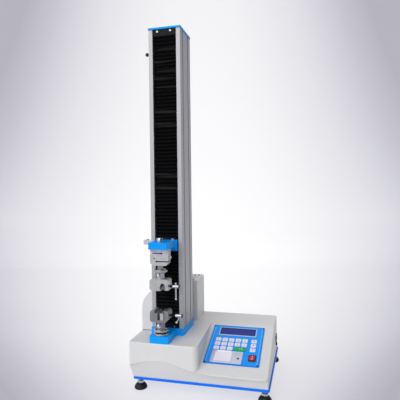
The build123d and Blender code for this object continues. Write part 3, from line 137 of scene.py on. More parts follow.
class Finish:
    """A surface finish: fixed numbers go on the shader's own sockets, patterns are linked in."""

    def __init__(self, name, colour="#808080", **fixed):
        self.material = bpy.data.materials.new(name)
        self.material.use_nodes = True
        self.tree = self.material.node_tree
        self.shader = self.tree.nodes["Principled BSDF"]
        self.shader.inputs["Base Color"].default_value = tone(colour)
        for word, number in fixed.items():
            self.shader.inputs[word.replace("_", " ").title().replace("Ior", "IOR")].default_value = number

    def node(self, kind, settings=None, out=0, sockets=None):
        """Adds a node of any kind: its settings first, then the values or links of its sockets."""
        made = self.tree.nodes.new("ShaderNode" + kind)
        for word, setting in (settings or {}).items():
            if word == "stops":
                stops = made.color_ramp.elements
                while len(stops) < len(setting):
                    stops.new(0.5)
                for stop, (place, colour) in zip(stops, setting):
                    stop.position, stop.color = place, tone(colour)
            else:
                setattr(made, word, setting)
        for socket, value in (sockets or {}).items():
            if isinstance(value, Value):
                self.tree.links.new(value.out, made.inputs[socket])
            else:
                made.inputs[socket].default_value = value
        return Value(self.tree, made.outputs[out])

    def link(self, value, socket):
        """Links a pattern to one of the shader's sockets."""
        self.tree.links.new(value.out, self.shader.inputs[socket])

    def place(self, centre=(0, 0, 0), turn=(0, 0, 0), stretch=(1, 1, 1)):
        """Object coordinates in millimetres, centred, turned and stretched for a pattern."""
        shift = self.node("Mapping", {"vector_type": "TEXTURE"}, sockets={
            "Vector": self.node("TexCoord", out="Object"),
            "Location": [c / 1000 for c in centre], "Rotation": turn, "Scale": [0.001] * 3})
        if stretch == (1, 1, 1):
            return shift
        return self.node("Mapping", sockets={"Vector": shift, "Scale": stretch})

    def parts(self, spot):
        """The three numbers of a place."""
        return [self.node("SeparateXYZ", out=i, sockets={"Vector": spot}) for i in range(3)]

    def noise(self, spot, size, detail=2.0, rough=0.5):
        """Soft noise whose lumps are about `size` millimetres across, from 0 to 1."""
        return self.node("TexNoise", sockets={
            "Vector": spot, "Scale": 1 / size, "Detail": detail, "Roughness": rough})

    def mix(self, mask, first, second):
        """The first colour where the mask is 0 and the second where it is 1."""
        return self.node("Mix", {"data_type": "RGBA"}, out=2, sockets={
            0: mask,
            6: first if isinstance(first, Value) else tone(first),
            7: second if isinstance(second, Value) else tone(second)})

    def bump(self, height, depth, strength=1.0):
        """Raised where height is 1; depth is in millimetres."""
        self.link(self.node("Bump", sockets={
            "Height": height, "Distance": depth / 1000, "Strength": strength}), "Normal")


def corners_of(geometry):
    """The vertices among what a bmesh operator made."""
    return [v for v in geometry if isinstance(v, bmesh.types.BMVert)]


def keep(name, shapes, finishes=(), body=None, smooth=35, unit=0.001):
    """Joins shapes made in millimetres into one piece that rides on a body of the frame."""
    mesh = bpy.data.meshes.new(name)
    whole = bmesh.new()
    for shape in shapes if isinstance(shapes, list) else [shapes]:
        shape.to_mesh(mesh)
        shape.free()
        whole.from_mesh(mesh)
    bmesh.ops.scale(whole, vec=(unit,) * 3, verts=whole.verts)
    whole.to_mesh(mesh)
    whole.free()
    for finish in finishes:
        mesh.materials.append(finish.material)
    mesh.shade_smooth()
    mesh.set_sharp_from_angle(angle=math.radians(smooth))
    piece = bpy.data.objects.new(name, mesh)
    bpy.context.scene.collection.objects.link(piece)
    if body:
        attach(piece, body)
    return piece


paper_half, paper_near, paper_far, paper_tall, paper_curl = 6.0, -5.0, 2.3, 6.0, 0.25
light_share, glow_strength = 0.3, 1.13
paper = Finish("studio_paper", roughness=0.9)
x, y, z = paper.parts(paper.node("Mapping", {"vector_type": "TEXTURE"}, sockets={
    "Vector": paper.node("TexCoord", out="Object"), "Rotation": (0, 0, pan)}))
height = z.above(0.0)

# The painted pool of light widens away from the camera. It greys outwards, faster on the floor and faster
# still at the front edge. Places are in metres, and the rest are shares of the ramp from white to grey.
camera_back, least_away, pool_middle = 1.49, 0.7, -0.035
pool_share, pool_narrowing = 0.47, 0.02
wall_fall, wall_fall_rise, floor_fall, floor_reach = 0.225, 0.135, 0.3, 0.4
mid_fall, mid_reach, edge_fall, edge_shade, edge_at = 0.06, 1.2, 0.1, 0.26, 0.55
middle_shade, middle_rise, outer_tone = 0.06, 0.045, 0.64
pool_width = (y + camera_back).above(least_away) * (pool_share - height * pool_narrowing)
across = (x - pool_middle) / pool_width
near_edge = (edge_at - y).above(0.0)
on_floor = (floor_reach - z).above(0.0) * floor_fall + (mid_reach - y).above(0.0) * mid_fall
shade = across * across * (wall_fall + height * wall_fall_rise + on_floor + near_edge * edge_fall)
shade = shade + near_edge ** 2.0 * edge_shade + height * middle_rise + middle_shade
shade = shade.sum("MINIMUM", shade, outer_tone)
painted_pool_tone = paper.node("ValToRGB", {"stops": [(0.0, "#fefefe"), (0.5, "#bfbec8"), (1.0, "#7c7c86")]},
                        sockets={"Fac": shade})
# The paper glows with this painted pool of light, and a share of lit diffuse keeps the machine's shadow.
glow = paper.node("Emission", sockets={"Color": painted_pool_tone, "Strength": glow_strength})
lit = paper.node("BsdfDiffuse", sockets={"Color": painted_pool_tone})
seen = paper.node("MixShader", sockets={0: light_share, 1: glow, 2: lit})
plain = paper.node("BsdfDiffuse", sockets={"Color": tone("#e2e2e4")})
by_camera, by_gloss, by_glass = [
    paper.node("LightPath", out="Is %s Ray" % kind) for kind in ("Camera", "Glossy", "Transmission")]
shown = paper.node("MixShader", sockets={0: by_camera.above(by_gloss.above(by_glass)), 1: plain, 2: seen})
paper.tree.links.new(shown.out, paper.tree.nodes["Material Output"].inputs["Surface"])

roll = bmesh.new()
bmesh.ops.create_grid(roll, x_segments=1, y_segments=1, size=1)
bmesh.ops.scale(roll, verts=roll.verts, vec=(paper_half, (paper_far - paper_near) / 2, 1))
bmesh.ops.translate(roll, verts=roll.verts, vec=(0, (paper_far + paper_near) / 2, 0))
far_edge = [e for e in roll.edges if all(v.co.y > paper_far - 0.01 for v in e.verts)]
hung = bmesh.ops.extrude_edge_only(roll, edges=far_edge)["geom"]
bmesh.ops.translate(roll, verts=corners_of(hung), vec=(0, 0, paper_tall))
bmesh.ops.recalc_face_normals(roll, faces=roll.faces)
bmesh.ops.bevel(roll, geom=far_edge, offset=paper_curl, segments=8, affect="EDGES", profile=0.5, material=-1)
bmesh.ops.rotate(roll, verts=roll.verts, cent=(0, 0, 0), matrix=Matrix.Rotation(pan, 3, "Z"))
keep("studio_sweep", roll, [paper], unit=1)

# Lamps: a wide soft window at the left in front, and even light from all round.
# Polished metal sees the room darker towards the camera, so that its faces differ.
window = bpy.data.objects.new("window", bpy.data.lights.new("window", "SUN"))
window_way = Vector((0.26, 0.80, -0.54))
window.data.energy = 1.85
window.data.angle = math.radians(55)
window.visible_glossy = False
window.rotation_mode = "QUATERNION"
window.rotation_quaternion = window_way.to_track_quat("-Z", "Y")
bpy.context.scene.collection.objects.link(window)

room = bpy.data.worlds.new("room")
room.use_nodes = True
bpy.context.scene.world = room


def room_node(kind, out=0):
    """Adds a node to the world and gives one of its outputs."""
    return Value(room.node_tree, room.node_tree.nodes.new("ShaderNode" + kind).outputs[out])


toward = room_node("TexCoord", out="Generated")
split = room_node("SeparateXYZ").out.node
room.node_tree.links.new(toward.out, split.inputs[0])
to_x, to_y, to_z = [Value(room.node_tree, way) for way in split.outputs]
by_camera, by_gloss = [room_node("LightPath", out="Is %s Ray" % kind) for kind in ("Camera", "Glossy")]
room_level, room_mirrored, room_least, camera_extra = 0.50, 0.38, 0.06, 0.3
pane_size, pane_strength = 0.80, 9.0
facing = to_x * -window_way.x + to_y * -window_way.y + to_z * -window_way.z
pane = (facing - pane_size).above(0.0) * pane_strength
mirrored = (to_x * -0.45 + to_y * 0.12 + to_z * 0.30 + room_mirrored).above(room_least) + pane
strength = room_level + by_gloss * (mirrored - room_level) + by_camera * camera_extra
room.node_tree.links.new(strength.out, room.node_tree.nodes["Background"].inputs["Strength"])
room.node_tree.nodes["Background"].inputs["Color"].default_value = (1, 1, 1, 1)


# Levelling feet: moulded rubber pads on zinc-plated studs, each held by a nut, with a washer under
# the plate. The studs screw up into the base plate, so each foot is its own piece.
def stand(shape, at, axis):
    """Stands a shape made upright round the origin on a place, along an axis."""
    lay = Matrix.Translation(at) @ Vector(axis).to_track_quat("Z", "Y").to_matrix().to_4x4()
    bmesh.ops.transform(shape, matrix=lay, verts=shape.verts)
    return shape


def ease(shape, edges, round_off):
    """Rounds some edges of a shape."""
    bmesh.ops.bevel(shape, geom=edges, offset=round_off, segments=2, affect="EDGES", profile=0.5, material=-1)


def turned(profile, at, axis=(0, 0, 1), steps=40):
    """A lathe shape: (radius, height) points spun about an axis through `at`."""
    shape = bmesh.new()
    points = [shape.verts.new((radius, 0, height)) for radius, height in profile]
    for pair in zip(points, points[1:]):
        shape.edges.new(pair)
    bmesh.ops.spin(shape, geom=shape.verts[:] + shape.edges[:], cent=(0, 0, 0), axis=(0, 0, 1),
                   angle=math.tau, steps=steps, use_merge=True)
    bmesh.ops.remove_doubles(shape, verts=shape.verts, dist=1e-4)
    bmesh.ops.recalc_face_normals(shape, faces=shape.faces)
    return stand(shape, at, axis)


def threaded(radius, low, high, pitch, depth=0.5):
    """The outline of a screw thread between two heights, for a turned shape."""
    points, height = [(radius - depth, low)], low
    while height + pitch <= high:
        points += [(radius, height + pitch / 2), (radius - depth, height + pitch)]
        height += pitch
    return points + [(radius - depth, high)]


def hexagon(across_flats, thick, at, axis=(0, 0, 1), round_off=0.6):
    """A hexagon nut standing on `at`, with its rims eased."""
    shape = bmesh.new()
    radius = across_flats / math.sqrt(3)
    bmesh.ops.create_cone(shape, cap_ends=True, segments=6, radius1=radius, radius2=radius, depth=thick)
    bmesh.ops.translate(shape, verts=shape.verts, vec=(0, 0, thick / 2))
    rims = [e for e in shape.edges if abs(e.verts[0].co.z - e.verts[1].co.z) < 1e-4]
    ease(shape, rims, round_off)
    return stand(shape, at, axis)


def block(size, at=(0, 0, 0), round_off=0.0):
    """A box round a place, with its edges eased if a radius is given."""
    shape = bmesh.new()
    bmesh.ops.create_cube(shape, size=1)
    bmesh.ops.scale(shape, verts=shape.verts, vec=size)
    if round_off:
        ease(shape, shape.edges[:], round_off)
    bmesh.ops.translate(shape, verts=shape.verts, vec=at)
    return shape


def coloured(shape, index):
    """Gives all faces of a shape one of the piece's finishes."""
    for face in shape.faces:
        face.material_index = index
    return shape


rubber = Finish("pad_rubber", "#0e0e0f", specular_ior_level=0.4)
grit = rubber.noise(rubber.place(), 0.9, 3.0)
rubber.link(rubber.mix(rubber.noise(rubber.place(), 14.0), "#0b0b0c", "#1c1c1e"), "Base Color")
rubber.link(grit * 0.25 + 0.42, "Roughness")
rubber.bump(grit, 0.06, 0.6)


def machined(name, dark, light, rough, metal=1.0, stretch=(1, 1, 1), grain=0.5, depth=0.006):
    """Cut, ground or drawn metal: tool marks drawn out along one way, and cloudy handling marks."""
    finish = Finish(name, light, metallic=metal)
    marks = finish.noise(finish.place(stretch=stretch), grain, 3.0, 0.6)
    cloud = finish.noise(finish.place(), 22.0, 3.0)
    finish.link(finish.mix(marks * 0.6 + cloud * 0.4, dark, light), "Base Color")
    finish.link(marks * 0.14 + cloud * 0.1 + (rough - 0.12), "Roughness")
    finish.bump(marks, depth, 0.5)
    return finish


zinc = machined("zinc_plated_steel", "#a9aaae", "#dadbde", 0.30, stretch=(1, 1, 0.3))
plate_bottom, washer_thick, gap = 40, 1.4, 0.02
nut_low, nut_tall, nut_flats = 19, 8, 19
stud_radius, stud_neck, stud_top, stud_pitch = 5.9, 4.4, 62.6, 1.75
pad_profile = [(0, 0), (17.5, 0), (19.5, 0.8), (21, 2.4), (21, 6.6), (20.4, 8.6), (19.0, 9.4), (18.4, 10.4),
               (17.4, 13.2), (14.6, 16.4), (12.4, 17.6), (12.0, nut_low), (0, nut_low)]
thread = threaded(stud_radius, nut_low + nut_tall - 0.5, stud_top - 0.2, stud_pitch, 0.7)
for name in [n for n in nodes if n.startswith("foot_")]:
    low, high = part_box(name)
    foot_x, foot_y = (low[0] + high[0]) * 500, (low[1] + high[1]) * 500
    at = (foot_x, foot_y, 0)
    pad = turned(pad_profile, at, steps=56)
    stud = turned([(0, nut_low), (stud_neck, nut_low)] + thread + [(0, stud_top)], at, steps=24)
    nut = hexagon(nut_flats, nut_tall, (foot_x, foot_y, nut_low))
    foot = keep(name + "_dressed", [coloured(pad, 0), coloured(stud, 1), coloured(nut, 1)], [rubber, zinc],
                name)
    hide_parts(name)
    washer = turned([(6.6, 0), (11.5, 0), (12, 0.4), (12, washer_thick), (6.6, washer_thick), (6.6, 0)],
                    (foot_x, foot_y, plate_bottom - washer_thick - gap))
    keep(name + "_washer", washer, [rubber], "frame")


# Base plate: a thick steel plate with a sprayed azure finish.
# Its edge shows all round under the housing.
def sprayed(name, dark, light, rough=0.4, peel=0.03, gloss=0.4):
    """Sprayed paint: fine orange peel, faint clouds of tone, and a roughness that is never quite even."""
    finish = Finish(name, light, specular_ior_level=gloss)
    skin = finish.noise(finish.place(), 1.4, 2.0)
    cloud = finish.noise(finish.place(), 60.0, 4.0)
    finish.link(finish.mix(cloud, dark, light), "Base Color")
    finish.link(skin * 0.1 + cloud * 0.1 + (rough - 0.1), "Roughness")
    finish.bump(skin, peel, 0.35)
    return finish


def dress(finish, *names):
    """Gives a finish to all slots of CAD nodes."""
    for name in names:
        for held in nodes[name].material_slots:
            held.material = finish.material


dress(sprayed("azure_plate_paint", "#006de8", "#0078f4", 0.4, gloss=0.2), "base_plate")

# Housing: a moulded shell in warm pale grey, with a skirt that steps in below a long wave.
# The colour is in the moulding, and the surface has a fine even grain.
casing = Finish("casing_grey", "#d8d8d9")
grain = casing.noise(casing.place(), 0.7, 2.0)
tint = casing.noise(casing.place(), 90.0, 3.0)
casing.link(casing.mix(tint, "#d2d2d3", "#dadadb"), "Base Color")
casing.link(grain * 0.14 + tint * 0.1 + 0.36, "Roughness")
casing.bump(grain, 0.035, 0.4)
dress(casing, "base_housing")

# Keypad panel: a flat azure plate let into the sloping top of the console, held by four small screws.
# A thin pale line is printed inside its left and right edges, and the colour is darker in a band round the
# rim.
panel_corner = (8.5, -141.25, 101.81)
panel_across, panel_long, panel_top = 180, 200, 2.5
panel_tilt = math.radians(17.9)
panel_lay = Matrix.Translation(panel_corner) @ Matrix.Rotation(panel_tilt, 4, "X")


def on_panel(shape, across, along, height=panel_top):
    """Lays a shape made flat round the origin on the panel, at a place on its face."""
    lay = panel_lay @ Matrix.Translation((across, along, height))
    bmesh.ops.transform(shape, matrix=lay, verts=shape.verts)
    return shape


def panel_spots(finish):
    """Places across, along and above the panel, in millimetres, for patterns printed on it."""
    return finish.parts(finish.place(panel_corner, (panel_tilt, 0, 0)))


line_inset, line_half, line_short, rim_width = 7.5, 0.55, 9, 3.2
azure_panel = Finish("azure_panel_paint", "#008cff", specular_ior_level=0.25)
across, along, _ = panel_spots(azure_panel)
from_side = abs(across - panel_across / 2)
from_end = abs(along - panel_long / 2)
line = abs(from_side - (panel_across / 2 - line_inset)) < line_half
line = line * (from_end < panel_long / 2 - line_short)
# The colour is darker in a band round the panel's edges.
rim = (from_side > panel_across / 2 - rim_width) + (from_end > panel_long / 2 - rim_width)
rim = rim.sum("MINIMUM", rim, 1.0)
skin = azure_panel.noise(azure_panel.place(), 1.1)
azure = azure_panel.mix(azure_panel.noise(azure_panel.place(), 45.0), "#008ef4", "#009afc")
azure_panel.link(azure_panel.mix(line, azure_panel.mix(rim, azure, "#0078e0"), "#8fd0ff"), "Base Color")
azure_panel.link(skin * 0.12 + 0.26, "Roughness")
azure_panel.bump(skin, 0.02, 0.3)
dress(azure_panel, "control_panel")

dark_steel = machined("blackened_steel", "#26272a", "#3c3d41", 0.38)
screw_inset, head_tall, slot_size = 4.6, 1.6, (4.2, 0.6, 0.5)
head_profile = [(0, -0.4), (2.7, -0.4), (2.7, 0.5), (2.3, 1.1), (1.4, 1.5), (0, head_tall)]
for corner, right, far in (("lower_left", 0, 0), ("lower_right", 1, 0),
                           ("upper_left", 0, 1), ("upper_right", 1, 1)):
    head = turned(head_profile, (0, 0, 0), steps=24)
    # The slot is a black block set in the head: painted shade for the dark inside of the slot.
    slot = block(slot_size)
    slot_turn = Matrix.Rotation(0.5 + right + 2 * far, 4, "Z")
    slot_lay = Matrix.Translation((0, 0, head_tall - 0.18)) @ slot_turn
    bmesh.ops.transform(slot, matrix=slot_lay, verts=slot.verts)
    place = (screw_inset + right * (panel_across - 2 * screw_inset),
             screw_inset + far * (panel_long - 2 * screw_inset))
    keep("panel_screw_" + corner, [on_panel(coloured(head, 0), *place), on_panel(coloured(slot, 1), *place)],
         [dark_steel, rubber], "frame")

# Display: a pale bezel clipped into the panel, round a dark blue window.
# Behind the window lie two rows of unlit cells.
display_at, display_half = (90, 166), (62.2, 18.8)
cell_pitch, cell_gap, cells_half = (5.6, 14.5), (0.9, 2.2), (56, 14.3)
bezel_grey = Finish("bezel_grey", "#b4c4dd", roughness=0.38)
across, along, _ = panel_spots(bezel_grey)
inner = (abs(across - display_at[0]) < display_half[0]) * (abs(along - display_at[1]) < display_half[1])
bezel_skin = bezel_grey.noise(bezel_grey.place(), 0.8)
rim = bezel_grey.mix(bezel_skin, "#a9bad4", "#b9c9e0")
bezel_grey.link(bezel_grey.mix(inner, rim, "#27365f"), "Base Color")
bezel_grey.link(bezel_skin * 0.2 + 0.3, "Roughness")
dress(bezel_grey, "lcd_bezel")

display = Finish("display_window", "#142a80", roughness=0.2, specular_ior_level=0.25)
across, along, _ = panel_spots(display)
from_row = along - display_at[1]
cell = ((across % cell_pitch[0]) > cell_gap[0]) * ((from_row % cell_pitch[1]) > cell_gap[1])
cell = cell * (abs(from_row) < cells_half[1]) * (abs(across - display_at[0]) < cells_half[0])
depth = display.noise(display.place(), 30.0)
display.link(display.mix(cell * 0.35, display.mix(depth, "#11246f", "#182e88"), "#1f3a9c"), "Base Color")
dress(display, "lcd_window")

# Keys: short-stroke caps moulded in off-white, with grey printed marks, and one long green start key.
# The caps stand a little proud of the panel, each in its own hole.
key_tops = 4.7


def moulded(name, dark, light, rough=0.4, pits=0.02, size=0.8, coat=0.0):
    """Moulded plastic: spark-eroded grain, slight swirls of tone, a satin that varies a little."""
    finish = Finish(name, light, coat_weight=coat, coat_roughness=0.1)
    skin = finish.noise(finish.place(), size, 2.0)
    swirl = finish.noise(finish.place(), 25.0, 3.0)
    finish.link(finish.mix(swirl, dark, light), "Base Color")
    finish.link(skin * 0.14 + swirl * 0.08 + (rough - 0.11), "Roughness")
    finish.bump(skin, pits, 0.4)
    return finish


key_white = moulded("key_white", "#e2dce4", "#ece6ee", 0.42)
key_names = [n for n in nodes if n.startswith("key_")]
dress(key_white, *[n for n in key_names if n != "key_wide"])
key_green = moulded("key_green", "#0c9a30", "#14aa3c", 0.4)
dress(key_green, "key_wide")


def ink(name, colour, dark, light, speck, **fixed):
    """Printing ink that is never quite even."""
    finish = Finish(name, colour, **fixed)
    finish.link(finish.mix(finish.noise(finish.place(), speck), dark, light), "Base Color")
    return finish


mark_grey = ink("mark_grey", "#7e8496", "#71778a", "#8d93a4", 0.5, roughness=0.5)
mark_red = ink("mark_red", "#d81420", "#c80f1b", "#e51c28", 0.6, roughness=0.3, coat_weight=0.4)
mark_pale = ink("mark_pale", "#a9e4b8", "#9adcab", "#b8ecc5", 0.5, roughness=0.5)


def characters(words, size, thick=0.12):
    """Printed characters as a thin closed mesh round the origin, standing on z = 0."""
    curve = bpy.data.curves.new("print", "FONT")
    curve.body, curve.size, curve.extrude = words, size, thick / 2
    curve.align_x, curve.align_y, curve.resolution_u = "CENTER", "CENTER", 3
    print_object = bpy.data.objects.new("print", curve)
    bpy.context.scene.collection.objects.link(print_object)
    finished = print_object.evaluated_get(bpy.context.evaluated_depsgraph_get())
    shape = bmesh.new()
    shape.from_mesh(bpy.data.meshes.new_from_object(finished))
    bpy.data.objects.remove(print_object)
    bmesh.ops.translate(shape, verts=shape.verts, vec=(0, 0, thick / 2))
    return shape


def flat_mark(sides, radius, turn=0.0, squeeze=1.0, thick=0.12):
    """A thin printed polygon: three sides for an arrow head, four for a bar, many for a dot."""
    shape = bmesh.new()
    bmesh.ops.create_circle(shape, cap_ends=True, segments=sides, radius=radius)
    bmesh.ops.rotate(shape, verts=shape.verts, cent=(0, 0, 0), matrix=Matrix.Rotation(turn, 3, "Z"))
    bmesh.ops.scale(shape, verts=shape.verts, vec=(1, squeeze, 1))
    top = bmesh.ops.extrude_face_region(shape, geom=shape.faces[:])["geom"]
    bmesh.ops.translate(shape, verts=corners_of(top), vec=(0, 0, thick))
    bmesh.ops.recalc_face_normals(shape, faces=shape.faces)
    return shape


key_marks = {"key_11": "1", "key_12": "2", "key_13": "3", "key_14": "4", "key_15": "5",
             "key_21": "6", "key_22": "7", "key_23": "8", "key_24": "9", "key_25": "0",
             "key_31": "+", "key_32": "-", "key_33": "."}
digit_size, bar_length, bar_drop, arrow_size, dot_size, sunk = 8.5, 5.2, 5.4, 4.4, 2.6, 0.04
for name in key_names:
    low, high = [panel_lay.inverted() @ (Vector(corner) * 1000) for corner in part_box(name)]
    place = ((low.x + high.x) / 2, (low.y + high.y) / 2, key_tops - sunk)
    finish = mark_grey
    if name in key_marks:
        under = flat_mark(4, bar_length, math.pi / 4, 0.18)
        bmesh.ops.translate(under, verts=under.verts, vec=(0, -bar_drop, 0))
        marks = [characters(key_marks[name], digit_size), under]
    elif name == "key_16":
        marks = [flat_mark(3, arrow_size, math.pi / 2)]
    elif name == "key_36":
        marks = [flat_mark(3, arrow_size, -math.pi / 2)]
    elif name == "key_26":
        marks, finish = [flat_mark(24, dot_size)], mark_red
    else:
        marks, finish = [flat_mark(3, 4.2), flat_mark(4, 5.0, math.pi / 4, 0.3)], mark_pale
        for mark, shift in zip(marks, (6, -1.6)):
            bmesh.ops.translate(mark, verts=mark.verts, vec=(shift, 0, 0))
    keep("mark_on_" + name, [on_panel(mark, *place) for mark in marks], [finish], name)

# Receipt printer: a lavender-grey moulded frame with a hinged white lid, fed by a paper roll underneath.
# The end of the paper stands out of the slot behind the lid, torn against a saw-tooth edge.
printer_top, printer_middle = 6.5, 31.7
door_left, door_right, door_end = 33.5, 87.5, 53.7
door_middle = (door_left + door_right) / 2
rib_pitch, rib_width, ribs_left, ribs_right, ribs_middle, ribs_half = 2.6, 0.8, 95, 118, 47, 7
grip_pitch, grip_start, grip_end, grip_half = 3.0, 10, 20, 16
printer_grey = Finish("printer_grey", "#c6c8dc", roughness=0.42)
across, along, _ = panel_spots(printer_grey)
# The ribs are shallow grooves, and their darker colour is painted shade in the grooves.
ribs = (((along - printer_middle) % rib_pitch) < rib_width) * (across > ribs_left) * (across < ribs_right)
ribs = ribs * (abs(along - ribs_middle) < ribs_half)
left_strip = across < door_left - 2.5
skin = printer_grey.noise(printer_grey.place(), 0.8)
shell = printer_grey.mix(printer_grey.noise(printer_grey.place(), 25.0), "#c0c3d8", "#cbcde0")
shell = printer_grey.mix(left_strip * 0.6, shell, "#a2a6c0")
printer_grey.link(printer_grey.mix(ribs * 0.7, shell, "#8e93ac"), "Base Color")
printer_grey.link(skin * 0.16 + 0.34, "Roughness")
printer_grey.bump(skin * 0.15 - ribs, 0.25, 0.6)
dress(printer_grey, "printer_bezel")

lid_white = Finish("lid_white", "#e6e6f0", roughness=0.35)
across, along, _ = panel_spots(lid_white)
grip_lines = (((along - grip_start) % grip_pitch) < rib_width) * (along < grip_end)
grip_lines = grip_lines * (abs(across - door_middle) < grip_half)
skin = lid_white.noise(lid_white.place(), 0.8)
lid_white.link(lid_white.mix(lid_white.noise(lid_white.place(), 20.0), "#e0e0ec", "#eaeaf3"), "Base Color")
lid_white.link(skin * 0.14 + 0.3, "Roughness")
lid_white.bump(skin * 0.1 + grip_lines, 0.3, 0.7)
dress(lid_white, "printer_door")
dress(moulded("button_dark", "#2c2e3c", "#3a3c4c", 0.35), "printer_button")

receipt = Finish("thermal_paper", "#f4f4f2", roughness=0.6)
fibres = receipt.noise(receipt.place(stretch=(1, 3, 3)), 0.6, 4.0, 0.7)
receipt.link(receipt.mix(fibres, "#ececeb", "#f6f6f4"), "Base Color")
receipt.bump(fibres, 0.02, 0.5)
strip_wide, strip_long, strip_thick, teeth, tooth_deep = 48.0, 7.0, 0.12, 24, 0.8
strip_rise, strip_sunk, strip_curl = 6.4, 2.6, 2.2
strip = bmesh.new()
bmesh.ops.create_grid(strip, x_segments=teeth * 2, y_segments=6, size=0.5)
bmesh.ops.scale(strip, verts=strip.verts, vec=(strip_wide, strip_long, 1))
for corner in strip.verts:
    up = corner.co.y / strip_long + 0.5
    torn = up > 0.98 and round(corner.co.x / strip_wide * teeth * 2) % 2
    rise = up * strip_rise - strip_sunk - (tooth_deep if torn else 0)
    corner.co = Vector((corner.co.x, strip_curl * up ** 2, rise))
bmesh.ops.solidify(strip, geom=strip.faces[:], thickness=strip_thick)
bmesh.ops.recalc_face_normals(strip, faces=strip.faces)
strip = on_panel(strip, door_middle, door_end + 1.4, printer_top - 1.2)
keep("paper_end", strip, [receipt], "frame")

# Power switch: a red rocker in a black snap-in frame.
# Its two ends are marked with a bar and a ring.
dress(moulded("switch_black", "#141416", "#202024", 0.35), "rocker_frame")
rocker_at, mark_apart = (154.5, 36.5), 6.2
bar_half, ring_middle, ring_half = (0.75, 3.0), 2.6, 0.65
rocker = Finish("rocker_red", "#c01018", specular_ior_level=0.3)
across, along, _ = panel_spots(rocker)
off_across, off_along = across - rocker_at[0], along - rocker_at[1]
bar_mark = (abs(off_across) < bar_half[0]) * (abs(off_along - mark_apart) < bar_half[1])
ring_radius = (abs(off_across) ** 2.0 + (off_along + mark_apart) ** 2.0) ** 0.5
ring_mark = abs(ring_radius - ring_middle) < ring_half
skin = rocker.noise(rocker.place(), 0.7)
red = rocker.mix(rocker.noise(rocker.place(), 12.0), "#b20a12", "#cc141c")
rocker.link(rocker.mix(bar_mark + ring_mark, red, "#ffe9e6"), "Base Color")
rocker.link(skin * 0.12 + 0.2, "Roughness")
dress(rocker, "power_rocker")

# Mains inlet and fuse carrier: black moulded fittings on the right wall.
# The inlet holds three plated blades.
fitting_black = moulded("fitting_black", "#111113", "#1c1c1f", 0.4, 0.03)
dress(fitting_black, "power_inlet", "fuse_holder")
inlet_at, blade_size, blade_sunk = Vector((219, 146.6, 100)), (12, 2, 4), 6.5
blades = [block(blade_size, inlet_at + Vector((-blade_sunk, sideways, up)), 0.4)
          for sideways, up in ((-7, -2), (7, -2), (0, 2))]
keep("inlet_blades", blades, [zinc], "frame")

# Column: one length of clear-anodised extrusion with a wide channel in front and two T-slots in each side.
# The die leaves fine lines along its length.
column_metal = Finish("anodised_column", "#b8b8bb", metallic=0.5)
die_lines = column_metal.noise(column_metal.place(stretch=(1, 1, 0.004)), 0.8, 3.0, 0.6)
handling = column_metal.noise(column_metal.place(), 70.0, 3.0)
column_metal.link(column_metal.mix(die_lines * 0.6 + handling * 0.4, "#acacb0", "#c4c4c7"), "Base Color")
column_metal.link(die_lines * 0.12 + handling * 0.08 + 0.38, "Roughness")
column_metal.bump(die_lines, 0.02, 0.5)
dress(column_metal, "column")

# Column cap and foot block: machined plates at the column's two ends.
# Both have the same azure paint, thick and satin.
block_azure = sprayed("azure_block_paint", "#0096f0", "#00a2fa", 0.42, 0.03, 0.2)
dress(block_azure, "column_cap", "plinth")

# Bellows: folded black coated cloth over the lead screw, above and below the crosshead.
# The cloth has a fine woven texture, and black clamp plates hold the two ends.
bellows_black = Finish("bellows_black", "#060607", specular_ior_level=0.2)
weave_pitch = 0.9
spot = bellows_black.place()
weave_x, _, weave_z = bellows_black.parts(spot)
weave = abs((weave_x % weave_pitch) - weave_pitch / 2) + abs((weave_z % weave_pitch) - weave_pitch / 2)
dust = bellows_black.noise(spot, 9.0, 4.0, 0.7)
bellows_black.link(bellows_black.mix(dust, "#030304", "#0e0e10"), "Base Color")
bellows_black.link(dust * 0.2 + 0.4, "Roughness")
bellows_black.bump(weave, 0.12, 0.4)
for name, still, moving in (("bellows_upper", 1, 0), ("bellows_lower", 0, 1)):
    cloth = bmesh.new()
    cloth.from_mesh(nodes[name].data)
    cloth.transform(nodes[name].matrix_world)
    bmesh.ops.remove_doubles(cloth, verts=cloth.verts, dist=1e-6)
    piece = keep(name + "_cloth", cloth, [bellows_black], unit=1)
    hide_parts(name)
    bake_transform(piece)
dress(sprayed("clamp_black", "#08080a", "#121214", 0.5, gloss=0.2), "bellows_clamps")


bite = 0.1  # how far a seated piece is pressed into what carries it


def cap_screw(head, tall, socket, at, axis=(0, 0, 1), knurls=0):
    """A socket-head screw standing on `at`, with a hexagon sunk in its top and, if asked, a knurled side."""
    side = [(0, 0), (head / 2, 0), (head / 2, tall - 0.08 * head), (head * 0.44, tall), (socket * 0.66, tall)]
    shape = turned(side, (0, 0, 0), steps=knurls or 30)
    if knurls:
        for corner in shape.verts:
            turn = round(math.atan2(corner.co.y, corner.co.x) / math.tau * knurls)
            if corner.co.xy.length > head * 0.48 and turn % 2:
                corner.co.xy *= 0.965
    rim = [e for e in shape.edges if e.is_boundary]
    well = bmesh.ops.create_circle(shape, cap_ends=False, segments=6, radius=socket / math.sqrt(3))["verts"]
    bmesh.ops.translate(shape, verts=well, vec=(0, 0, tall))
    well_rim = [e for e in shape.edges if e.verts[0] in well and e.verts[1] in well]
    bmesh.ops.bridge_loops(shape, edges=rim + well_rim)
    walls = bmesh.ops.extrude_edge_only(shape, edges=well_rim)["geom"]
    bmesh.ops.translate(shape, verts=corners_of(walls), vec=(0, 0, -tall * 0.6))
    bmesh.ops.contextual_create(shape, geom=[e for e in walls if isinstance(e, bmesh.types.BMEdge)])
    bmesh.ops.recalc_face_normals(shape, faces=shape.faces)
    return stand(shape, at, axis)


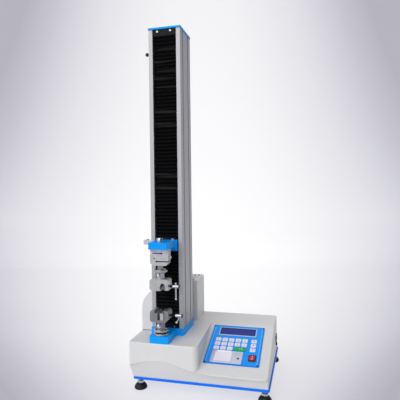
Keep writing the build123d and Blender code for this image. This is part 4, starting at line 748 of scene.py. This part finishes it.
bright_steel = machined("bright_screw_steel", "#c4c5c9", "#ecedef", 0.24)
clamp_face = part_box("bellows_clamps")[0][1] * 1000
upper_row, lower_row = 1186, 196
for name, clamp_x, clamp_z in (("upper_left", -147, upper_row), ("upper_right", -101.5, upper_row),
                               ("lower_left", -147.5, lower_row), ("lower_right", -99.5, lower_row)):
    screw = cap_screw(7, 3.2, 3, at=(clamp_x, clamp_face + bite, clamp_z), axis=(0, -1, 0))
    keep("clamp_screw_" + name, screw, [bright_steel], "frame")

# Lead screw: a rolled steel screw of 10 mm lead behind the bellows.
# It is seen only when a bellows is off.
lead_steel = machined("rolled_lead_steel", "#7b7c80", "#b5b6ba", 0.28, stretch=(1, 1, 0.2))
dress(lead_steel, "lead_screw")

# Crosshead: a machined arm in azure paint that rides in the channel on the lead screw.
# Socket screws hold the slide block, and a taller knurled bolt comes down through it into the load cell.
axis_x, load_y = -123.5, -159.4
crosshead_top, shank_radius, shank_long = 490, 6, 32
arm_screw_out, arm_screw_y = 26, -109.4
dress(sprayed("azure_arm_paint", "#0090f2", "#009cfc", 0.4, 0.03, 0.2), "crosshead")
cell_bolt = cap_screw(18, 13, 8, at=(axis_x, load_y, crosshead_top), knurls=48)
arm_screws = [cap_screw(10, 6, 5, at=(axis_x + way * arm_screw_out, arm_screw_y, crosshead_top))
              for way in (-1, 1)]
shank = turned([(0, 0), (shank_radius, 0), (shank_radius, shank_long), (0, shank_long)],
               (axis_x, load_y, crosshead_top - shank_long + bite), steps=24)
bolts = keep("arm_bolts", [cell_bolt, shank] + arm_screws, [bright_steel], "crosshead")
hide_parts("crosshead_bolts")

# Striker: a bent steel strip from the arm round the column's left side, which pushes the travel stop.
# It is ground bright, with slightly rounded edges.
dress(machined("striker_bright", "#d2d3d6", "#f0f1f3", 0.3, 0.7, (0.05, 1, 1)), "striker_arm")

# Load cell: a milled aluminium block with two slots that leave thin bending beams.
# A cable gland sits at its side and a small screw shows on its front.
cell_metal = Finish("milled_cell_aluminium", "#aeb0b4", metallic=0.6)
# Diagonal streaks of painted glint lighten the block, as light caught on the milled metal.
cell_middle, slant = (axis_x, -172, 441), math.radians(38)
slanted = cell_metal.place(cell_middle, (0, slant, 0), (0.02, 1, 1))
painted_glint = cell_metal.noise(slanted, 5.0, 3.0, 0.6)
mill = cell_metal.noise(cell_metal.place(stretch=(0.08, 1, 1)), 0.5, 3.0)
cell_metal.link(cell_metal.mix(painted_glint * 0.75 + mill * 0.25, "#94969a", "#f0f1f3"), "Base Color")
cell_metal.link(mill * 0.2 + painted_glint * 0.2 + 0.16, "Roughness")
cell_metal.bump(mill, 0.01, 0.4)
dress(cell_metal, "load_cell")
cell_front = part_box("load_cell")[0][1] * 1000
cell_screw_in, cell_screw_z = 16.4, 438.6
cell_screw = cap_screw(6, 1.6, 3, at=(axis_x - cell_screw_in, cell_front + bite, cell_screw_z),
                       axis=(0, -1, 0))
keep("cell_screw", cell_screw, [bright_steel], "crosshead")

# Adapters and lock rings: turned steel, ground bright on the rims.
# The lower ring is darker in a band round its middle.
turned_steel = machined("turned_steel", "#8e8f93", "#d5d6d9", 0.22, stretch=(1, 1, 8), grain=1.2)
dress(turned_steel, "upper_adapter", "lower_adapter")


def ring_finish(name, middle, half):
    """Bright rims with a darker band between two heights."""
    finish = Finish(name, "#c9cacd", metallic=0.95)
    waist = abs(finish.parts(finish.place())[2] - middle) < half
    turning = finish.noise(finish.place(stretch=(0.3, 0.3, 6)), 1.5, 3.0)
    rims, band_tone = finish.mix(turning, "#b4b5b9", "#e6e7ea"), finish.mix(turning, "#2f3033", "#56575b")
    finish.link(finish.mix(waist, rims, band_tone), "Base Color")
    finish.link(turning * 0.16 + 0.16, "Roughness")
    finish.bump(turning, 0.01, 0.4)
    return finish


dress(ring_finish("upper_ring_steel", 0, 1), "upper_lock_ring")
# The lower ring's darker band lies round its middle.
ring_at, waist_half = 199, 2.9
dress(ring_finish("lower_ring_steel", ring_at, waist_half), "lower_lock_ring")

# Grip pins: ground steel pins that hold each grip in its socket.
# Their ball heads are polished.
chrome = machined("polished_chrome", "#cfd0d4", "#f4f5f7", 0.1, grain=2.0, depth=0.002)
dress(chrome, "upper_grip_pin", "lower_grip_pin")

# Vice grips: milled steel yokes of one steel, the upper one painted lighter and the lower one painted darker
# as light and shade.
# A jaw pushed by the clamp screw closes on a fixed one; both faces carry fine teeth across the load.
# The upper yoke is painted light, and the lower one is painted shade and dark reflection.
upper_grip_lit_steel = machined("upper_grip_steel_lit", "#b4b5b8", "#e6e7ea", 0.3, 0.7, (1, 1, 0.15))
lower_grip_shaded_steel = machined("lower_grip_steel_shaded", "#808184", "#b4b5b8", 0.32, 0.75, (0.15, 1, 1))
dress(upper_grip_lit_steel, "upper_grip_body")
dress(lower_grip_shaded_steel, "lower_grip_body")
# The upper jaw is painted darker than the lower: painted shade in the gap of its grip.
dress(machined("upper_jaw_steel_shaded", "#707175", "#a3a4a8", 0.3, 0.9, (1, 0.1, 1)), "upper_jaw")
jaw_steel = machined("lower_jaw_steel", "#b6b7bb", "#e4e5e8", 0.28, 0.7, (1, 0.1, 1))
dress(jaw_steel, "lower_jaw")


def toothed_face(name, body, face_x, way, like, tooth, margin=1.0, pitch=1.5, sunk=0.4):
    """Saw teeth let into a jaw face; `way` is the side they look to, `like` the jaw they line up with."""
    low, high = [corner * 1000 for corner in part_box(like)]
    tall, deep = high.z - low.z - 2 * margin, high.y - low.y - 2 * margin
    rows = int(tall / pitch) * 2
    shape = bmesh.new()
    bmesh.ops.create_grid(shape, x_segments=1, y_segments=rows, size=0.5)
    bmesh.ops.scale(shape, verts=shape.verts, vec=(deep, tall, 1))
    for corner in shape.verts:
        corner.co.z = tooth if round((corner.co.y / tall + 0.5) * rows) % 2 else tooth / 8
    edge = [e for e in shape.edges if e.is_boundary]
    walls = bmesh.ops.extrude_edge_only(shape, edges=edge)["geom"]
    for corner in corners_of(walls):
        corner.co.z = -sunk
    bmesh.ops.contextual_create(shape, geom=[e for e in walls if isinstance(e, bmesh.types.BMEdge)])
    bmesh.ops.recalc_face_normals(shape, faces=shape.faces)
    lay = Matrix(((0, 0, way), (1, 0, 0), (0, 1, 0))).to_4x4()
    lay.translation = (face_x, (low.y + high.y) / 2, (low.z + high.z) / 2)
    bmesh.ops.transform(shape, matrix=lay, verts=shape.verts)
    if way < 0:
        bmesh.ops.recalc_face_normals(shape, faces=shape.faces)
    keep(name, shape, [jaw_steel], body, smooth=10)


tooth_height = 0.09
for side, body, gap in (("upper", "crosshead", 9.0), ("lower", "frame", 9.3)):
    jaw_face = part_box(side + "_jaw")[0][0] * 1000
    toothed_face(side + "_jaw_teeth", side + "_jaw", jaw_face, -1, side + "_jaw", tooth_height)
    toothed_face(side + "_fixed_teeth", body, jaw_face - gap, 1, side + "_jaw", tooth_height)

# Clamp screws and tommy bars: threaded steel screws with a bored hub, closed by a black cap.
# The bar is loose in the hub and has a ball at each end.
grip_right = axis_x + 31
hub_radius, hub_knurls, screw_radius, screw_tip = 5.5, 40, 4.0, 2.5
hub_steel = machined("hub_steel", "#b3b4b8", "#e4e5e8", 0.24, 0.9)
hub_cap = moulded("hub_cap_black", "#101012", "#1a1a1c", 0.35)
for side, screw_z, hub_gap in (("upper", 348, 9.5), ("lower", 254.5, 17.8)):
    low, high = [corner.x * 1000 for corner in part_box(side + "_clamp_screw")]
    start, end = grip_right + hub_gap - low, high - low
    neck, waist, rim = end - 3.2, hub_radius - 0.5, end - 2.9
    at, axis = (low, load_y, screw_z), (1, 0, 0)
    thread = threaded(screw_radius, 2.6, start, 1.5, 0.6)
    shank = turned([(0, 0), (screw_tip, 0), (screw_tip, 2.5)] + thread + [(0, start)], at, axis, 24)
    hub = turned([(0, start), (4.6, start), (hub_radius, start + 0.9), (hub_radius, neck - 1.0),
                  (waist, neck - 0.4), (waist, neck), (0, neck)], at, axis, hub_knurls)
    cap = turned([(0, neck - 0.1), (5.3, neck - 0.1), (hub_radius, rim), (hub_radius, end - 1),
                  (4.6, end), (0, end)], at, axis, 32)
    screw = keep(side + "_clamp_screw_dressed", [coloured(shank, 0), coloured(hub, 1), coloured(cap, 2)],
                 [dark_steel, hub_steel, hub_cap], side + "_clamp_screw")
    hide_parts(side + "_clamp_screw")
    dress(chrome, side + "_tommy_bar")

# Travel stop: a black ball knob on a stud.
# Its nut slides in the column's left T-slot.
dress(moulded("knob_black", "#0a0a0b", "#161617", 0.22, 0.01, coat=0.4), "travel_stop")

# Rear cover: a sheet-steel hood over the drive, sprayed pale grey, fixed by screws on its top.
# A thin dark strip runs under its left wing, where it stands on the housing.
cover_top = 317
dress(sprayed("cover_grey_paint", "#d2d2d4", "#dcdcde", 0.44, 0.04), "rear_cover")
for number, (screw_x, screw_y) in enumerate(((-100, 180), (-84, 96), (-190, 180), (-84, 180))):
    screw = cap_screw(6, 1.8, 3, at=(screw_x, screw_y, cover_top - bite))
    keep("cover_screw_%d" % number, screw, [dark_steel], "frame")
# A thin dark block lies at the foot of the cover's left wing.
dark_strip_size, dark_strip_at = (38, 1.4, 1.4), (-206.5, -66.3, 168.6)
keep("cover_dark_strip", block(dark_strip_size, dark_strip_at, 0.4), [rubber], "frame")
